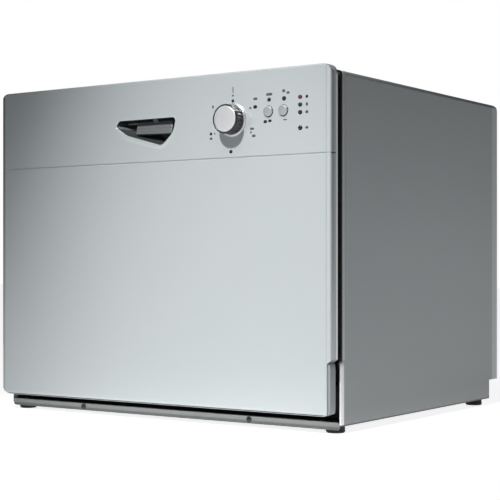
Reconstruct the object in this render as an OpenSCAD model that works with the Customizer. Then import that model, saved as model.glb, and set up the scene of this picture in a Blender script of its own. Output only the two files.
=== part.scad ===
// Countertop dishwasher for six place settings, with a drop-down door.
// Units are millimetres.  +X is the viewer's right, the door faces -Y and +Z is up.
// The origin is on the floor, in the middle of the whole machine's footprint.
// Inside the modules y is counted from the door's front face: place() moves it into the frame.

/* [Cabinet] */
// Width of the cabinet
body_w = 545; // [535:1:560]
// Height of the cabinet's top above the floor
body_h = 441; // [436:1:460]
// Depth from the door's front face to the back of the cabinet
body_d = 478; // [472:1:500]
// Height of the feet
foot_h = 9; // [8:0.5:12]
// Diameter of a foot
foot_d = 24; // [18:1:30]
// Steel sheet of the cabinet, the tub and the door
sheet_t = 1; // [0.8:0.1:1.2]
// Depth of the folded hem along the cabinet's front edge
hem_w = 12; // [8:1:16]
// Radius of the cabinet's two long top edges
top_r = 6; // [4:1:10]
// Radius of the rear top corners
rear_top_r = 10; // [6:1:14]
// Height of the hose notch along the rear bottom edge
notch_h = 27; // [22:1:30]
// Depth of the hose notch
notch_d = 28; // [24:1:32]

/* [Door] */
// Inset of the door's side edges from the cabinet's sides
door_inset = 1; // [1:0.5:4]
// Height of the door's lower edge above the floor
door_z = 22; // [21:0.5:24]
// How far the door's top stands above the cabinet's top
door_over = 6; // [5:0.5:7]
// Thickness of the door at its rim
door_t = 16; // [15:0.5:17]
// Gap between the closed door and the cabinet
door_gap = 6; // [5.5:0.5:7]
// Height of the control fascia
fascia_h = 107.5; // [104:0.5:112]
// Radius of the door's top corners
door_top_r = 12; // [8:1:14]
// Radius of the door's bottom corners
door_bottom_r = 15; // [12:1:18]
// Height of the narrow part beside the hinges, above the floor
relief_top = 91; // [86:1:94]
// Step at the right edge beside the hinge
relief_right = 5.5; // [4:0.5:6]
// Step at the left edge beside the hinge
relief_left = 1.5; // [1.5:0.5:4]
// Height of the hinge axis above the floor
hinge_z = 66; // [66:0.5:68]

/* [Controls] */
// Distance of the program knob from the middle
knob_x = 128; // [120:1:136]
// Distance of the knob's middle below the door's top
knob_drop = 60.5; // [58:0.5:62]
// Turn of the knob's pointer from the top, clockwise
pointer_turn = 58; // [0:1:90]
// How far the knob stands out of the door's face
knob_out = 18; // [16:0.5:22]
// Diameter of the knob
knob_d = 37; // [32:1:40]
// Diameter of the two push buttons
button_d = 13; // [11:0.5:14]
// Spacing of the push buttons
button_pitch = 22; // [18:1:24]
// Diameter of an indicator lens
lens_d = 3.6; // [3:0.2:4.4]

/* [Tub] */
// Distance from the inside of the tub to the cabinet's side
side_gap = 47.5; // [46:0.5:49]
// Height of the tub's floor above the floor
tub_z = 94; // [93:0.5:95]
// Distance from the tub's roof to the cabinet's top
roof_gap = 26; // [25:0.5:29]
// Distance from the tub's back wall to the back of the cabinet
tub_back_gap = 42; // [38:1:46]
// Radius of the tub's long corners
tub_r = 16; // [12:1:16]
// Depth of the basin pressed into the tub's floor
basin_depth = 5; // [4:0.5:6]

/* [Spray and filter] */
// Radius swept by the spray arm
arm_r = 185; // [170:1:190]
// Diameter of the spray arm's bearing
arm_bore_d = 20; // [18:0.5:22]
// Distance of the filter and the salt cap from the middle
filter_x = 110; // [106:1:114]
// Diameter of the sump opening
sump_d = 92; // [84:1:94]
// Radius of the heating element's ring
heater_r = 78; // [70:1:82]
// Diameter of the heating element's tube
heater_d = 8; // [6:0.5:8]

/* [Rack] */
// Distance from the rack to the tub's side
rack_gap = 20; // [20:0.5:23]
// Height of the rack's walls
rack_h = 126; // [110:1:134]
// Wire of the grilles
wire_d = 4; // [3:0.2:4.4]
// Wire of the rims
rim_d = 5; // [4:0.2:6]
// Radius of a rack wheel
wheel_r = 9; // [8:0.5:9.5]
// Spacing of the plate tines
tine_pitch = 26; // [24:1:28]
// Height of the plate tines
tine_h = 62; // [50:1:70]
// How far the rack rolls out
rack_travel = 188; // [160:1:188]

/* [Connections] */
// Diameter over the inlet valve's thread
inlet_d = 26.4; // [24:0.2:27]
// Diameter of the drain spigot
spigot_d = 19; // [17:0.5:21]
// Bore of the cable gland
gland_bore = 8; // [6:0.5:9]

/* [Hidden] */
$fn = 64;

// Clearances: a seat at rest, a running fit's diameter, a joint line, a hair more than a cut needs
seat = 0.3;
run = 0.1;
seam = 1;
cut = 1;

// Cabinet planes, counted from the door's front face
half_w = body_w / 2;
door_w = body_w - 2 * door_inset;
door_h = body_h + door_over - door_z;
tub_w = body_w - 2 * side_gap;
tub_top = body_h - roof_gap;
rack_w = tub_w - 2 * rack_gap;
cab_y = door_t + door_gap;
rear_y = body_d;
notch_y = rear_y - notch_d;
notch_z = foot_h + notch_h;
front_shift = knob_out - (body_d + knob_out) / 2;

// Sheet planes
hem_t = 2 * sheet_t;
hem_y = cab_y + hem_w;
flange_y = cab_y + 0.5;
flange_w = half_w - hem_t - seat;
flange_top = body_h - hem_t - seat;
flange_z = hinge_z + 10;

// Tub planes
tub_half = tub_w / 2;
tub_back = rear_y - tub_back_gap;
basin_z = tub_z - basin_depth;
basin_half = tub_half - 30;
basin_y0 = cab_y + 24;
basin_y1 = tub_back - 20;
under_tub = tub_z - sheet_t;
under_basin = basin_z - sheet_t;
centre_y = (cab_y + tub_back) / 2 + 1;

// Door planes
door_half = door_w / 2;
door_top = door_z + door_h;
knob_z = door_top - knob_drop;
seam_z = door_top - fascia_h;
hinge_y = cab_y + 2;
return_y = door_t - 4;
plateau_y = cab_y + 14;
plateau_half = tub_half - 9;
plateau_z0 = tub_z + 8;
plateau_z1 = tub_top - 7;
panel_edge_r = 2.5;
fascia_t = 2.5;

// Base tray planes
tray_z = foot_h;
tray_floor = tray_z + 2.5;
tray_wall = 2.5;
tray_half = half_w - sheet_t - seat;
tray_front = hinge_y + 52;
tray_rear = notch_y - 1.5;
tray_h = 51;
recess_x0 = 52;
recess_x1 = 212;
recess_z1 = 98;

// Sump, filter and softener places
filter_y = cab_y + 112;
salt_x = -filter_x - 2;
pump_z = 52;
pump_d = 66;
hose_z = 64;

// Controls places
handle_z = knob_z + 9;
button_x = knob_x + 54;
button_z = knob_z + 7.5;
lens_x = knob_x + 100.3;
lens_zs = [22, 12.7, 3.3, -15.5];
shaft_d = 6;
bezel_t = 2.5;
press = 2.5;
tact_h = 2.2;

// Latch and lever places
latch_z = flange_top - 6.5;
hook_w = 10;
hook_t = 2;
latch_pivot_y = 8;
lever_y = 13;
lever_z = handle_z - 3;
lever_x0 = -50;
lever_x1 = 36;
finger_y = latch_pivot_y - seat;
finger_z = lever_z + 15;

// Dispenser places
disp_half = 75;
disp_z = door_z + 218;
disp_h = 96;
disp_y = plateau_y + 4;
cup_x0 = -disp_half + 5;
cup_x1 = cup_x0 + 54;
cup_h = 60;
lid_travel = 50;
cap_x = cup_x1 + lid_travel + 20;
catch_z = disp_z - 32;

// Rack planes
rack_half = rack_w / 2;
wall_x = rack_half - wire_d / 2;
rack_z = basin_z + 35;
rack_y0 = cab_y + 64;
rack_y1 = tub_back - 18;
rack_top = rack_z + rack_h;
lean = 30;
cross_z = rack_z + wire_d * 0.9;
floor_top = cross_z + wire_d / 2;
axle_z = tub_z + 27.5;
axle_d = 5;
front_axle_y = cab_y + 218;
rear_axle_y = rack_y1 - 18;
rail_gap = 0.3;
rail_y0 = plateau_y + 2.5;
rail_y1 = rear_axle_y + wheel_r + 8;
rail_in = rack_half + 3.5;
floor_rows = 9;
function floor_y(j) = rack_y0 + 6 + j * (rack_y1 - rack_y0 - 12) / (floor_rows - 1);
tine_rows = [floor_y(2), floor_y(5)];
tine_n = 8;
shelf_x = wall_x - 7;
shelf_z = rack_top - 16;
shelf_y0 = rack_y0 + 38;
shelf_y1 = rack_y1 - 34;
shelf_w = 86;
basket_x0 = rack_half - 93;
basket_x1 = rack_half - 9;
basket_y0 = floor_y(0) + 8;
basket_y1 = basket_y0 + 80;
basket_h = 104;

// Springs
spring_x = half_w - 28.5;
spring_y0 = hinge_y + 24;
spring_z = hinge_z + 34;
spring_l = 148;
spring_d = 12;
spring_reach = 10;

// ---------------------------------------------------------------- helpers
module place() translate([0, front_shift, 0]) children();

module both_sides() {
  children();
  mirror([1, 0, 0]) children();
}

// A box between two corners
module box(x0, x1, y0, y1, z0, z1) translate([x0, y0, z0]) cube([x1 - x0, y1 - y0, z1 - z0]);

// Cylinders along each axis
module cyl_x(y, z, x0, x1, d) translate([x0, y, z]) rotate([0, 90, 0]) cylinder(d = d, h = x1 - x0);
module cyl_y(x, z, y0, y1, d) translate([x, y1, z]) rotate([90, 0, 0]) cylinder(d = d, h = y1 - y0);
module cyl_z(x, y, z0, z1, d) translate([x, y, z0]) cylinder(d = d, h = z1 - z0);

// A flat outline pushed along an axis: (x, z) along Y, (y, z) along X, (x, y) along Z
module along_y(y0, y1) translate([0, y1, 0]) rotate([90, 0, 0]) linear_extrude(y1 - y0) children();
module along_x(x0, x1) translate([x0, 0, 0]) rotate([90, 0, 90]) linear_extrude(x1 - x0) children();
module along_z(z0, z1) translate([0, 0, z0]) linear_extrude(z1 - z0) children();

// A rectangle with round corners
module rrect(x0, x1, y0, y1, r) {
  translate([x0 + r, y0]) square([x1 - x0 - 2 * r, y1 - y0]);
  translate([x0, y0 + r]) square([x1 - x0, y1 - y0 - 2 * r]);
  for (x = [x0 + r, x1 - r], y = [y0 + r, y1 - r]) translate([x, y]) circle(r);
}

// A polygon whose corners [x, y, radius] are turned into arcs of n steps
function unit(v) = v / norm(v);
function corner_arc(a, b, c, n) =
  let (
    u = unit([a[0] - b[0], a[1] - b[1]]),
    w = unit([c[0] - b[0], c[1] - b[1]]),
    half = acos(u * w) / 2,
    mid = unit(u + w),
    centre = [b[0], b[1]] + mid * b[2] / sin(half),
    start = [b[0], b[1]] + u * b[2] / tan(half) - centre,
    turn = (u[0] * w[1] - u[1] * w[0] > 0 ? -1 : 1) * (180 - 2 * half)
  )
  [for (i = [0:n]) let (t = turn * i / n)
    centre + [start[0] * cos(t) - start[1] * sin(t), start[0] * sin(t) + start[1] * cos(t)]];
function rounded(p, n = 8) =
  [for (i = [0:len(p) - 1]) each corner_arc(p[(i + len(p) - 1) % len(p)], p[i], p[(i + 1) % len(p)], n)];

// ---------------------------------------------------------------- cabinet
// Front view of the cabinet, drawn in by i from its faces and open below
module cabinet_front(i) {
  r = top_r - i;
  translate([-half_w + i, -cut]) square([body_w - 2 * i, body_h - top_r + cut]);
  translate([-half_w + top_r, 0]) square([body_w - 2 * top_r, body_h - i]);
  for (x = [-half_w + top_r, half_w - top_r]) translate([x, body_h - top_r]) circle(r);
}

// Side view of the cabinet: the round rear top corner and the hose notch below
module cabinet_side() {
  difference() {
    union() {
      translate([cab_y, foot_h]) square([body_d - cab_y - rear_top_r, body_h - foot_h]);
      translate([cab_y, foot_h]) square([body_d - cab_y, body_h - foot_h - rear_top_r]);
      translate([rear_y - rear_top_r, body_h - rear_top_r]) circle(rear_top_r);
    }
    translate([notch_y, 0]) square([notch_d + cut, notch_z]);
  }
}

// One folded sheet: two sides and the top, hemmed along the front edge
module outer_wrap() {
  color([0.42, 0.43, 0.44]) place() difference() {
    intersection() {
      along_y(cab_y, rear_y) cabinet_front(0);
      along_x(-half_w, half_w) cabinet_side();
      along_z(0, body_h) rrect(-half_w, half_w, cab_y, rear_y + 9, hem_t);
    }
    along_y(cab_y - cut, rear_y + cut) cabinet_front(hem_t);
    along_y(hem_y, rear_y + cut) cabinet_front(sheet_t);
  }
}

// A shallow pressing in a rear sheet: its floor lies deep mm further in
module pressed_back(x0, x1, z0, z1, y, deep) {
  along_y(y - sheet_t - deep, y) rrect(x0, x1, z0, z1, 12);
}
module pressed_back_hollow(x0, x1, z0, z1, y, deep) {
  along_y(y - deep, y + cut) rrect(x0 + sheet_t, x1 - sheet_t, z0 + sheet_t, z1 - sheet_t, 12 - sheet_t);
}

// Rear panel: a tray that closes the back, with the hose recess cut out and two rows of vents
module rear_panel() {
  w = half_w - sheet_t - seat / 2;
  t = body_h - sheet_t - seat / 2;
  y0 = rear_y - 14;
  r = rear_top_r - sheet_t;
  color([0.5, 0.51, 0.52]) place() difference() {
    union() {
      difference() {
        intersection() {
          along_y(y0, rear_y) cabinet_front(sheet_t + seat / 2);
          along_x(-w, w) {
            translate([y0, notch_z + seat]) square([14, t - notch_z - seat - r]);
            translate([y0, notch_z + seat]) square([14 - r, t - notch_z - seat]);
            translate([rear_y - r, t - r]) circle(r);
          }
        }
        intersection() {
          along_y(y0 - 2 * cut, rear_y) cabinet_front(2 * sheet_t + seat / 2);
          along_x(-w, w) {
            translate([y0 - cut, notch_z + seat + sheet_t])
              square([14 - sheet_t + cut, t - notch_z - seat - sheet_t - r]);
            translate([y0 - cut, notch_z + seat + sheet_t])
              square([14 - r + cut, t - notch_z - seat - 2 * sheet_t]);
            translate([rear_y - r, t - r]) circle(r - sheet_t);
          }
        }
      }
      box(-w, w, tray_rear + tray_wall + seat, y0 + cut, notch_z + seat, notch_z + seat + sheet_t);
      pressed_back(-w + 56, -20, 130, body_h - 41, rear_y, 2);
      pressed_back(20, w - 56, 130, body_h - 41, rear_y, 2);
    }
    pressed_back_hollow(-w + 56, -20, 130, body_h - 41, rear_y, 2);
    pressed_back_hollow(20, w - 56, 130, body_h - 41, rear_y, 2);
    along_y(tray_rear, rear_y + cut) rrect(recess_x0 - 2, recess_x1 + 2, 0, recess_z1 + 2, 5);
    for (i = [0:9], z = [64, 84])
      along_y(rear_y - 8, rear_y + cut) translate([-220 + i * 20, z]) rrect(0, 13, 0, 4, 1.9);
  }
}

// Base tray: the moulded floor that carries the walls, the posts and the pumps
module base_tray() {
  color([0.07, 0.07, 0.08]) place() difference() {
    union() {
      box(-tray_half, tray_half, hem_y + seat, tray_rear + tray_wall, tray_z, tray_floor);
      box(-flange_w + 2, flange_w - 2, cab_y + 4, hem_y + seat + cut, tray_z, tray_floor);
      // bosses for the plinth's screws
      for (s = [-1, 1]) cyl_y(s * plinth_screw_x, plinth_mid, cab_y + 2 + seat, cab_y + 16, 8);
    }
    for (s = [-1, 1]) cyl_y(s * plinth_screw_x, plinth_mid, cab_y, cab_y + 14, 3.4);
    for (s = [-1, 1], y = [foot_y0, foot_y1]) cyl_z(s * foot_x, y, 0, tray_floor + cut, 8 + run);
    // air slots in the floor
    for (i = [0:8]) along_z(0, tray_floor + cut) translate([-60 + i * 15, tray_rear - 90]) rrect(0, 6, 0, 50, 2.9);
  }
}

// Walls of the base, each standing on the tray's floor
wall_z = tray_floor + seat / 3;
module base_walls() {
  h = tray_z + tray_h;
  color([0.07, 0.07, 0.08]) place() {
    box(-tray_half + 3, tray_half - 3, tray_front, tray_front + tray_wall, wall_z, h - 6);
    for (s = [-1, 1]) scale_x(s)
      box(tray_half - tray_wall, tray_half, tray_front, tray_rear + tray_wall, wall_z, h);
    box(-tray_half + 3, recess_x0 - 2, tray_rear, tray_rear + tray_wall, wall_z, h);
    box(recess_x1 + 2, tray_half - 3, tray_rear, tray_rear + tray_wall, wall_z, h);
  }
}

// Posts under the tub's rim, cradles for the pumps and pads under the softener
module tray_posts() {
  color([0.07, 0.07, 0.08]) place() difference() {
    union() {
      for (s = [-1, 1], y = [tray_front + 4, tray_rear - 50]) scale_x(s)
        box(basin_half + 4, basin_half + 22, y, y + 18, wall_z, under_tub);
      for (y = [centre_y + 30, centre_y + 80]) box(filter_x - 24, filter_x + 24, y, y + 4, wall_z, pump_z);
      box(filter_x + sump_d / 2 + 30, filter_x + sump_d / 2 + 34, filter_y - 18, filter_y + 18, wall_z, pump_z - 7);
      for (x = [salt_x - 60, salt_x + 50], y = [filter_y - 34, filter_y + 70])
        box(x, x + 10, y, y + 10, wall_z, softener_z);
    }
    for (y = [centre_y + 30, centre_y + 80]) cyl_y(filter_x, pump_z, y - cut, y + 5, pump_d - 6 + 2 * seat);
    cyl_x(filter_y, pump_z - 7, filter_x + sump_d / 2 + 20, filter_x + sump_d / 2 + 40, 44 + 2 * seat);
  }
}

// Hose recess: a wall with the ports, the drain spigot on it, and three walls that reach to the rear panel
module hose_recess() {
  y0 = tray_rear + tray_wall + seat / 3;
  low = notch_z + 2 * seat + sheet_t;
  top = recess_z1 + 1.5;
  color([0.07, 0.07, 0.08]) place() {
    difference() {
      along_y(tray_rear, tray_rear + tray_wall) intersection() {
        rrect(recess_x0 - 1.5, recess_x1 + 1.5, 0, top, 4.5);
        translate([recess_x0 - 5, wall_z]) square([recess_x1 - recess_x0 + 10, recess_z1]);
      }
      cyl_y(inlet_x, inlet_z, tray_rear - cut, tray_rear + tray_wall + cut, inlet_d - 4);
      cyl_y(gland_x, inlet_z, tray_rear - cut, tray_rear + tray_wall + cut, gland_bore + 6 + run);
      cyl_y(drain_x, drain_z, tray_rear - cut, rear_y, spigot_d - 4);
    }
    difference() {
      cyl_y(drain_x, drain_z, y0, rear_y - 4, spigot_d);
      cyl_y(drain_x, drain_z, y0 - cut, rear_y, spigot_d - 4);
    }
    along_y(y0, rear_y - sheet_t) for (part = [0:2]) intersection() {
      rrect(recess_x0 - 1.5, recess_x1 + 1.5, 0, top, 4.5);
      if (part == 0) translate([recess_x0 - 5, recess_z1 - 1]) square([recess_x1 - recess_x0 + 10, 9]);
      if (part == 1) translate([recess_x0 - 5, low]) square([6, recess_z1 - 1 - seat / 3 - low]);
      if (part == 2) translate([recess_x1 - 1, low]) square([6, recess_z1 - 1 - seat / 3 - low]);
    }
  }
}
module scale_x(s) if (s > 0) children(); else mirror([1, 0, 0]) children();

// Kick strip below the door, clipped over the tray's front edge
plinth_screw_x = 138;
plinth_z0 = foot_h - 4.5;
plinth_z1 = foot_h + 4.7;
plinth_mid = foot_h + 0.6;
module plinth() {
  w = flange_w - seat;
  color([0.6, 0.61, 0.61]) place() difference() {
    union() {
      along_y(cab_y, cab_y + 2) difference() {
        rrect(-w, w, plinth_z0, plinth_z1, 3);
        for (s = [-1, 1]) translate([s * plinth_screw_x, plinth_mid]) circle(d = 4);
      }
      box(-w + 6, w - 6, cab_y + 1, cab_y + 8, tray_floor + seat / 3, plinth_z1);
    }
    for (s = [-1, 1]) cyl_y(s * plinth_screw_x, plinth_mid, cab_y + 2, cab_y + 17, 8 + 2 * seat);
  }
}

// Two pan-head screws that hold the plinth
module plinth_screws() {
  color([0.12, 0.12, 0.13]) place() for (s = [-1, 1]) {
    translate([s * plinth_screw_x, cab_y, plinth_mid]) rotate([90, 0, 0]) difference() {
      union() {
        intersection() {
          cylinder(d = 7.6, h = 2.2);
          translate([0, 0, -4.4]) sphere(r = 6.4);
        }
        translate([0, 0, -12]) cylinder(d = 3.3, h = 12 + cut);
      }
      for (a = [0, 90]) rotate(a) translate([-2.2, -0.4, 1]) cube([4.4, 0.8, 3]);
    }
  }
}

// Rubber feet pushed into the tray's floor
foot_x = half_w - 16.5;
foot_y0 = cab_y + 15;
foot_y1 = notch_y - 18;
module feet() {
  color([0.05, 0.05, 0.05]) place() for (s = [-1, 1], y = [foot_y0, foot_y1]) translate([s * foot_x, y, 0])
    rotate_extrude() union() {
      polygon([[0, 0], [foot_d / 2 - 1.5, 0], [foot_d / 2, 1.5], [foot_d / 2 - 0.6, foot_h], [0, foot_h]]);
      translate([0, foot_h - cut]) square([4, tray_floor - foot_h + 1.5]);
      polygon([[0, tray_floor + seat], [5.5, tray_floor + seat], [3, tray_floor + 4.5], [0, tray_floor + 4.5]]);
    }
}

// ---------------------------------------------------------------- tub
// A long rib pressed outwards in a side wall of the tub
module side_rib(z, out) {
  along_x(tub_half - (out > 0 ? cut : 0) , tub_half + 3 - (out > 0 ? sheet_t : 0))
    rrect(cab_y + 60, tub_back - 50, z + (out > 0 ? sheet_t : 0), z + 16 - (out > 0 ? sheet_t : 0), 6);
}

// Deep-drawn tub with the basin, the side ribs and the openings in its floor
module tub() {
  color([0.78, 0.79, 0.8]) place() difference() {
    union() {
      along_y(flange_y, tub_back + sheet_t)
        rrect(-tub_half - sheet_t, tub_half + sheet_t, under_tub, tub_top + sheet_t, tub_r + sheet_t);
      along_z(under_basin, tub_z)
        rrect(-basin_half - sheet_t, basin_half + sheet_t, basin_y0 - sheet_t, basin_y1 + sheet_t, 30 + sheet_t);
      both_sides() side_rib(240, 0);
      both_sides() side_rib(330, 0);
    }
    along_y(cab_y - cut, tub_back) rrect(-tub_half, tub_half, tub_z, tub_top, tub_r);
    along_z(basin_z, tub_z + cut) rrect(-basin_half, basin_half, basin_y0, basin_y1, 30);
    both_sides() side_rib(240, 1);
    both_sides() side_rib(330, 1);
    cyl_z(0, centre_y, basin_z - 9, basin_z + cut, arm_bore_d + 6);
    cyl_z(filter_x, filter_y, basin_z - 9, basin_z + cut, sump_d);
    cyl_z(salt_x, filter_y, basin_z - 9, basin_z + cut, 46);
    for (s = [-1, 1]) cyl_z(s * heater_leg_x, centre_y + heater_leg_y, basin_z - 9, basin_z + cut, heater_d + 1);
  }
}

// Front frame welded around the tub's mouth, with slots for the hinge levers and the latch
module tub_frame() {
  g = sheet_t + seat / 6;
  color([0.78, 0.79, 0.8]) place() along_y(flange_y, flange_y + sheet_t) difference() {
    rrect(-flange_w, flange_w, flange_z, flange_top, 4);
    rrect(-tub_half - g, tub_half + g, tub_z - g, tub_top + g, tub_r + g);
    for (s = [-1, 1]) translate([s * spring_x - 5.5, flange_z - cut]) square([11, 36]);
    translate([-hook_w, latch_z - 7]) square([2 * hook_w, 12.5]);
  }
}

// Angle tabs on the tub's sides that hold the door springs
module spring_tabs() {
  x0 = tub_half + sheet_t + seat / 6;
  y = spring_y0 + spring_l;
  color([0.7, 0.71, 0.72]) place() both_sides() difference() {
    union() {
      box(x0, spring_x + 7, y, y + 2, spring_z - 9, spring_z + 9);
      box(x0, x0 + 1.5, y, y + 16, spring_z - 9, spring_z + 9);
    }
    cyl_y(spring_x, spring_z, y - cut, y + 3, 5);
  }
}

// Door gasket: a U of rubber on the tub's flange, base and lip
module tub_gasket() {
  color([0.1, 0.1, 0.1]) place() difference() {
    union() {
      along_y(door_t + 3, flange_y) rrect(-tub_half - 10, tub_half + 10, 0, tub_top + 10, tub_r + 10);
      along_y(door_t + seat, door_t + 3 + cut) rrect(-tub_half - 8, tub_half + 8, 0, tub_top + 8, tub_r + 8);
    }
    along_y(door_t - cut, flange_y + cut) rrect(-tub_half - 2, tub_half + 2, -cut, tub_top + 2, tub_r + 2);
    box(-half_w, half_w, 0, cab_y + cut, -cut, tub_z);
  }
}

// Black strip around the flange that darkens the gap behind the door
module edge_seal() {
  w = flange_w - 1;
  color([0.04, 0.04, 0.04]) place() difference() {
    along_y(cab_y - 3.5, flange_y) rrect(-w, w, 0, flange_top - 1, 5);
    along_y(cab_y - 5, flange_y + cut) rrect(-w + 8, w - 8, -cut, flange_top - 9, 3);
    box(-half_w, half_w, 0, cab_y + cut, -cut, flange_z + 1);
    box(-hook_w - 2, hook_w + 2, 0, cab_y + cut, latch_z - 8, body_h);
  }
}

// Damping mats on the tub's roof and back wall
module sound_mats() {
  color([0.13, 0.12, 0.11]) place() {
    along_z(tub_top + sheet_t, tub_top + sheet_t + 4)
      rrect(-tub_half + 30, tub_half - 30, cab_y + 40, tub_back - 40, 8);
    along_y(tub_back + sheet_t, tub_back + sheet_t + 4) rrect(-tub_half + 40, tub_half - 40, 150, tub_top - 30, 8);
  }
}

// C-section rails on the tub's side walls, with a stop at each end
module rack_rails() {
  web = tub_half - seat / 2;
  low = axle_z - wheel_r - rail_gap;
  high = axle_z + wheel_r + rail_gap + 0.2;
  t = 1.2;
  color([0.72, 0.73, 0.74]) place() both_sides() {
    difference() {
      box(rail_in, web, rail_y0, rail_y1, low - t, high + t);
      box(rail_in - cut, web - t, rail_y0 - cut, rail_y1 + cut, low, high);
    }
    for (y = [rail_y0, rail_y1 - t]) box(web - 6, web, y, y + t, low - t, high + t);
  }
}

// ---------------------------------------------------------------- hinges
bracket_x = spring_x + 5.3;
pin_d = 8;
module hinge_brackets() {
  color([0.6, 0.61, 0.62]) place() both_sides() {
    along_x(bracket_x, bracket_x + 3) {
      translate([hinge_y, hinge_z]) circle(7);
      translate([hinge_y, hinge_z - 6]) square([tray_front + 26 - hinge_y, 13]);
      translate([tray_front + 8, tray_floor]) square([18, hinge_z - tray_floor]);
    }
    // foot that stands on the tray and stiffening flange
    box(bracket_x, bracket_x + 14, tray_front + 8, tray_front + 26, tray_floor, tray_floor + 2.5);
    box(bracket_x, bracket_x + 9, tray_front + 8, tray_front + 10.5, tray_floor, hinge_z + 7);
    // pivot pin with its head
    cyl_x(hinge_y, hinge_z, spring_x - 4, bracket_x + cut, pin_d);
    cyl_x(hinge_y, hinge_z, spring_x - 5.5, spring_x - 3.3, pin_d + 3);
  }
}

// Hinge arms screwed inside the door, with an eye on the pin and a lever for the spring
module hinge_arms() {
  x0 = spring_x - 3;
  x1 = spring_x + 3;
  color([0.62, 0.63, 0.64]) place() both_sides() difference() {
    union() {
      along_x(x0, x1) {
        translate([hinge_y, hinge_z]) circle(7);
        polygon([[hinge_y - 7, hinge_z - 3], [hinge_y, hinge_z - 6], [hinge_y, hinge_z + 6],
                 [door_t, hinge_z + 22], [return_y - 2, hinge_z + 34], [3, hinge_z + 34], [3, hinge_z + 2],
                 [door_t - 5, hinge_z - 3]]);
        translate([3, hinge_z + 2]) square([8, 130]);
        polygon([[hinge_y - 4, hinge_z + 3], [hinge_y + 6, hinge_z + 3], [spring_y0 - spring_reach + 5, spring_z - 2],
                 [spring_y0 - spring_reach, spring_z + 4], [spring_y0 - spring_reach - 5, spring_z + 2]]);
        translate([spring_y0 - spring_reach, spring_z]) circle(5);
      }
      // foot plates against the inside of the liner
      box(x0 - 9, x1, 3, 5, hinge_z + 30, hinge_z + 132);
    }
    cyl_x(hinge_y, hinge_z, x0 - cut, x1 + cut, pin_d + run);
    cyl_x(spring_y0 - spring_reach, spring_z, x0 - cut, x1 + cut, 3.6);
    for (z = [hinge_z + 50, hinge_z + 110]) cyl_y(x0 - 5, z, 2, 6, 4);
  }
}

// Extension springs between the hinge levers and the tub's tabs, drawn as close-wound turns
module door_springs() {
  turns = 24;
  w = 3;
  coil = spring_l - 24;
  p = coil / turns;
  color([0.5, 0.5, 0.52]) place() both_sides() translate([spring_x, spring_y0, spring_z]) rotate([-90, 0, 0]) {
    translate([0, 0, 12]) rotate_extrude() polygon(concat(
      [[0, 0]],
      [for (i = [0:turns - 1]) each [
        [spring_d / 2 - 1, i * p], [spring_d / 2, (i + 0.3) * p], [spring_d / 2, (i + 0.7) * p]]],
      [[spring_d / 2 - 1, coil], [0, coil]]));
    // front hook beside the arm with its bar through the eye, rear end behind the tab
    translate([spring_d / 2 - w / 2 + seat, 0, -spring_reach - w / 2]) cylinder(d = w, h = spring_reach + w / 2 + 14);
    translate([-4, 0, -spring_reach]) rotate([0, 90, 0]) cylinder(d = w, h = 4 + spring_d / 2 - w / 2 + seat);
    translate([0, 0, spring_l - 12 - cut]) cylinder(d = w, h = 12 + cut + 2 + w / 2 + seat);
    translate([0, 0, spring_l + 2 + w / 2 + seat]) rotate([0, 90, 0]) cylinder(d = w, h = 9, center = true);
  }
}

// Keeper behind the flange that the door's hook drops over
module striker() {
  y0 = flange_y + sheet_t;
  color([0.7, 0.71, 0.72]) place() {
    for (s = [-1, 1]) box(s * 17 - 5, s * 17 + 5, y0, y0 + 1.5, latch_z - 6.5, latch_z + 4.5);
    for (s = [-1, 1]) box(s * 12.75 - 0.75, s * 12.75 + 0.75, y0, y0 + 10, latch_z - 6.5, latch_z + 4.5);
    box(-13, 13, y0 + 3, y0 + 6.3, latch_z - 6.5, latch_z - 3.8);
  }
}

// ---------------------------------------------------------------- water parts
// Sump pot under the filter, with the outlets to both pumps
module sump() {
  bottom = tray_floor + 24;
  color([0.2, 0.2, 0.22]) place() difference() {
    union() {
      cyl_z(filter_x, filter_y, bottom, under_basin, sump_d + 2);
      cyl_z(filter_x, filter_y, under_basin - 3, under_basin, sump_d + 16);
      cyl_y(filter_x, pump_z, filter_y + 30, centre_y - 16, 30);
      cyl_x(filter_y, pump_z - 7, filter_x + 30, filter_x + sump_d / 2 + 10, 26);
    }
    cyl_z(filter_x, filter_y, bottom + 3, under_basin + cut, sump_d - 4);
    cyl_y(filter_x, pump_z, filter_y + 20, centre_y - 15, 24);
    cyl_x(filter_y, pump_z - 7, filter_x + 20, filter_x + sump_d / 2 + 11, 20);
  }
}

// Coarse filter: a perforated plate in the sump opening
module filter_plate() {
  t = 1.5;
  color([0.7, 0.71, 0.72]) place() translate([filter_x, filter_y, basin_z]) difference() {
    union() {
      cylinder(d = sump_d + 10, h = t);
      translate([0, 0, -7]) cylinder(d = sump_d - 4 - 2 * seat, h = 7 + cut);
    }
    translate([0, 0, -7 - cut]) cylinder(d = sump_d - 8, h = 7 + cut);
    translate([0, 0, -5]) cylinder(d = 46, h = 8);
    for (ring = [[27.5, 18], [33, 22], [38.5, 26]], k = [0:ring[1] - 1])
      rotate(k * 360 / ring[1]) translate([ring[0], 0, -cut]) cylinder(d = 3.6, h = 4, $fn = 24);
  }
}

// Fine filter: a windowed cup with a grip, turned a quarter to unlock
module filter_cup() {
  t = 1.5;
  color([0.35, 0.37, 0.4]) place() translate([filter_x, filter_y, basin_z]) difference() {
    union() {
      translate([0, 0, t + seat]) cylinder(d = 54, h = 2);
      translate([0, 0, -38]) cylinder(d = 45, h = 40);
      translate([-20, -2, t + 2]) cube([40, 4, 6]);
      for (s = [-1, 1]) translate([s * 20, 0, t + 2]) cylinder(d = 7, h = 6);
    }
    translate([0, 0, -36]) cylinder(d = 41, h = 37 + t);
    for (k = [0:11], j = [0:1]) rotate(k * 30) translate([15, -3.5, -33 + j * 16]) cube([10, 7, 13]);
  }
}

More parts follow.
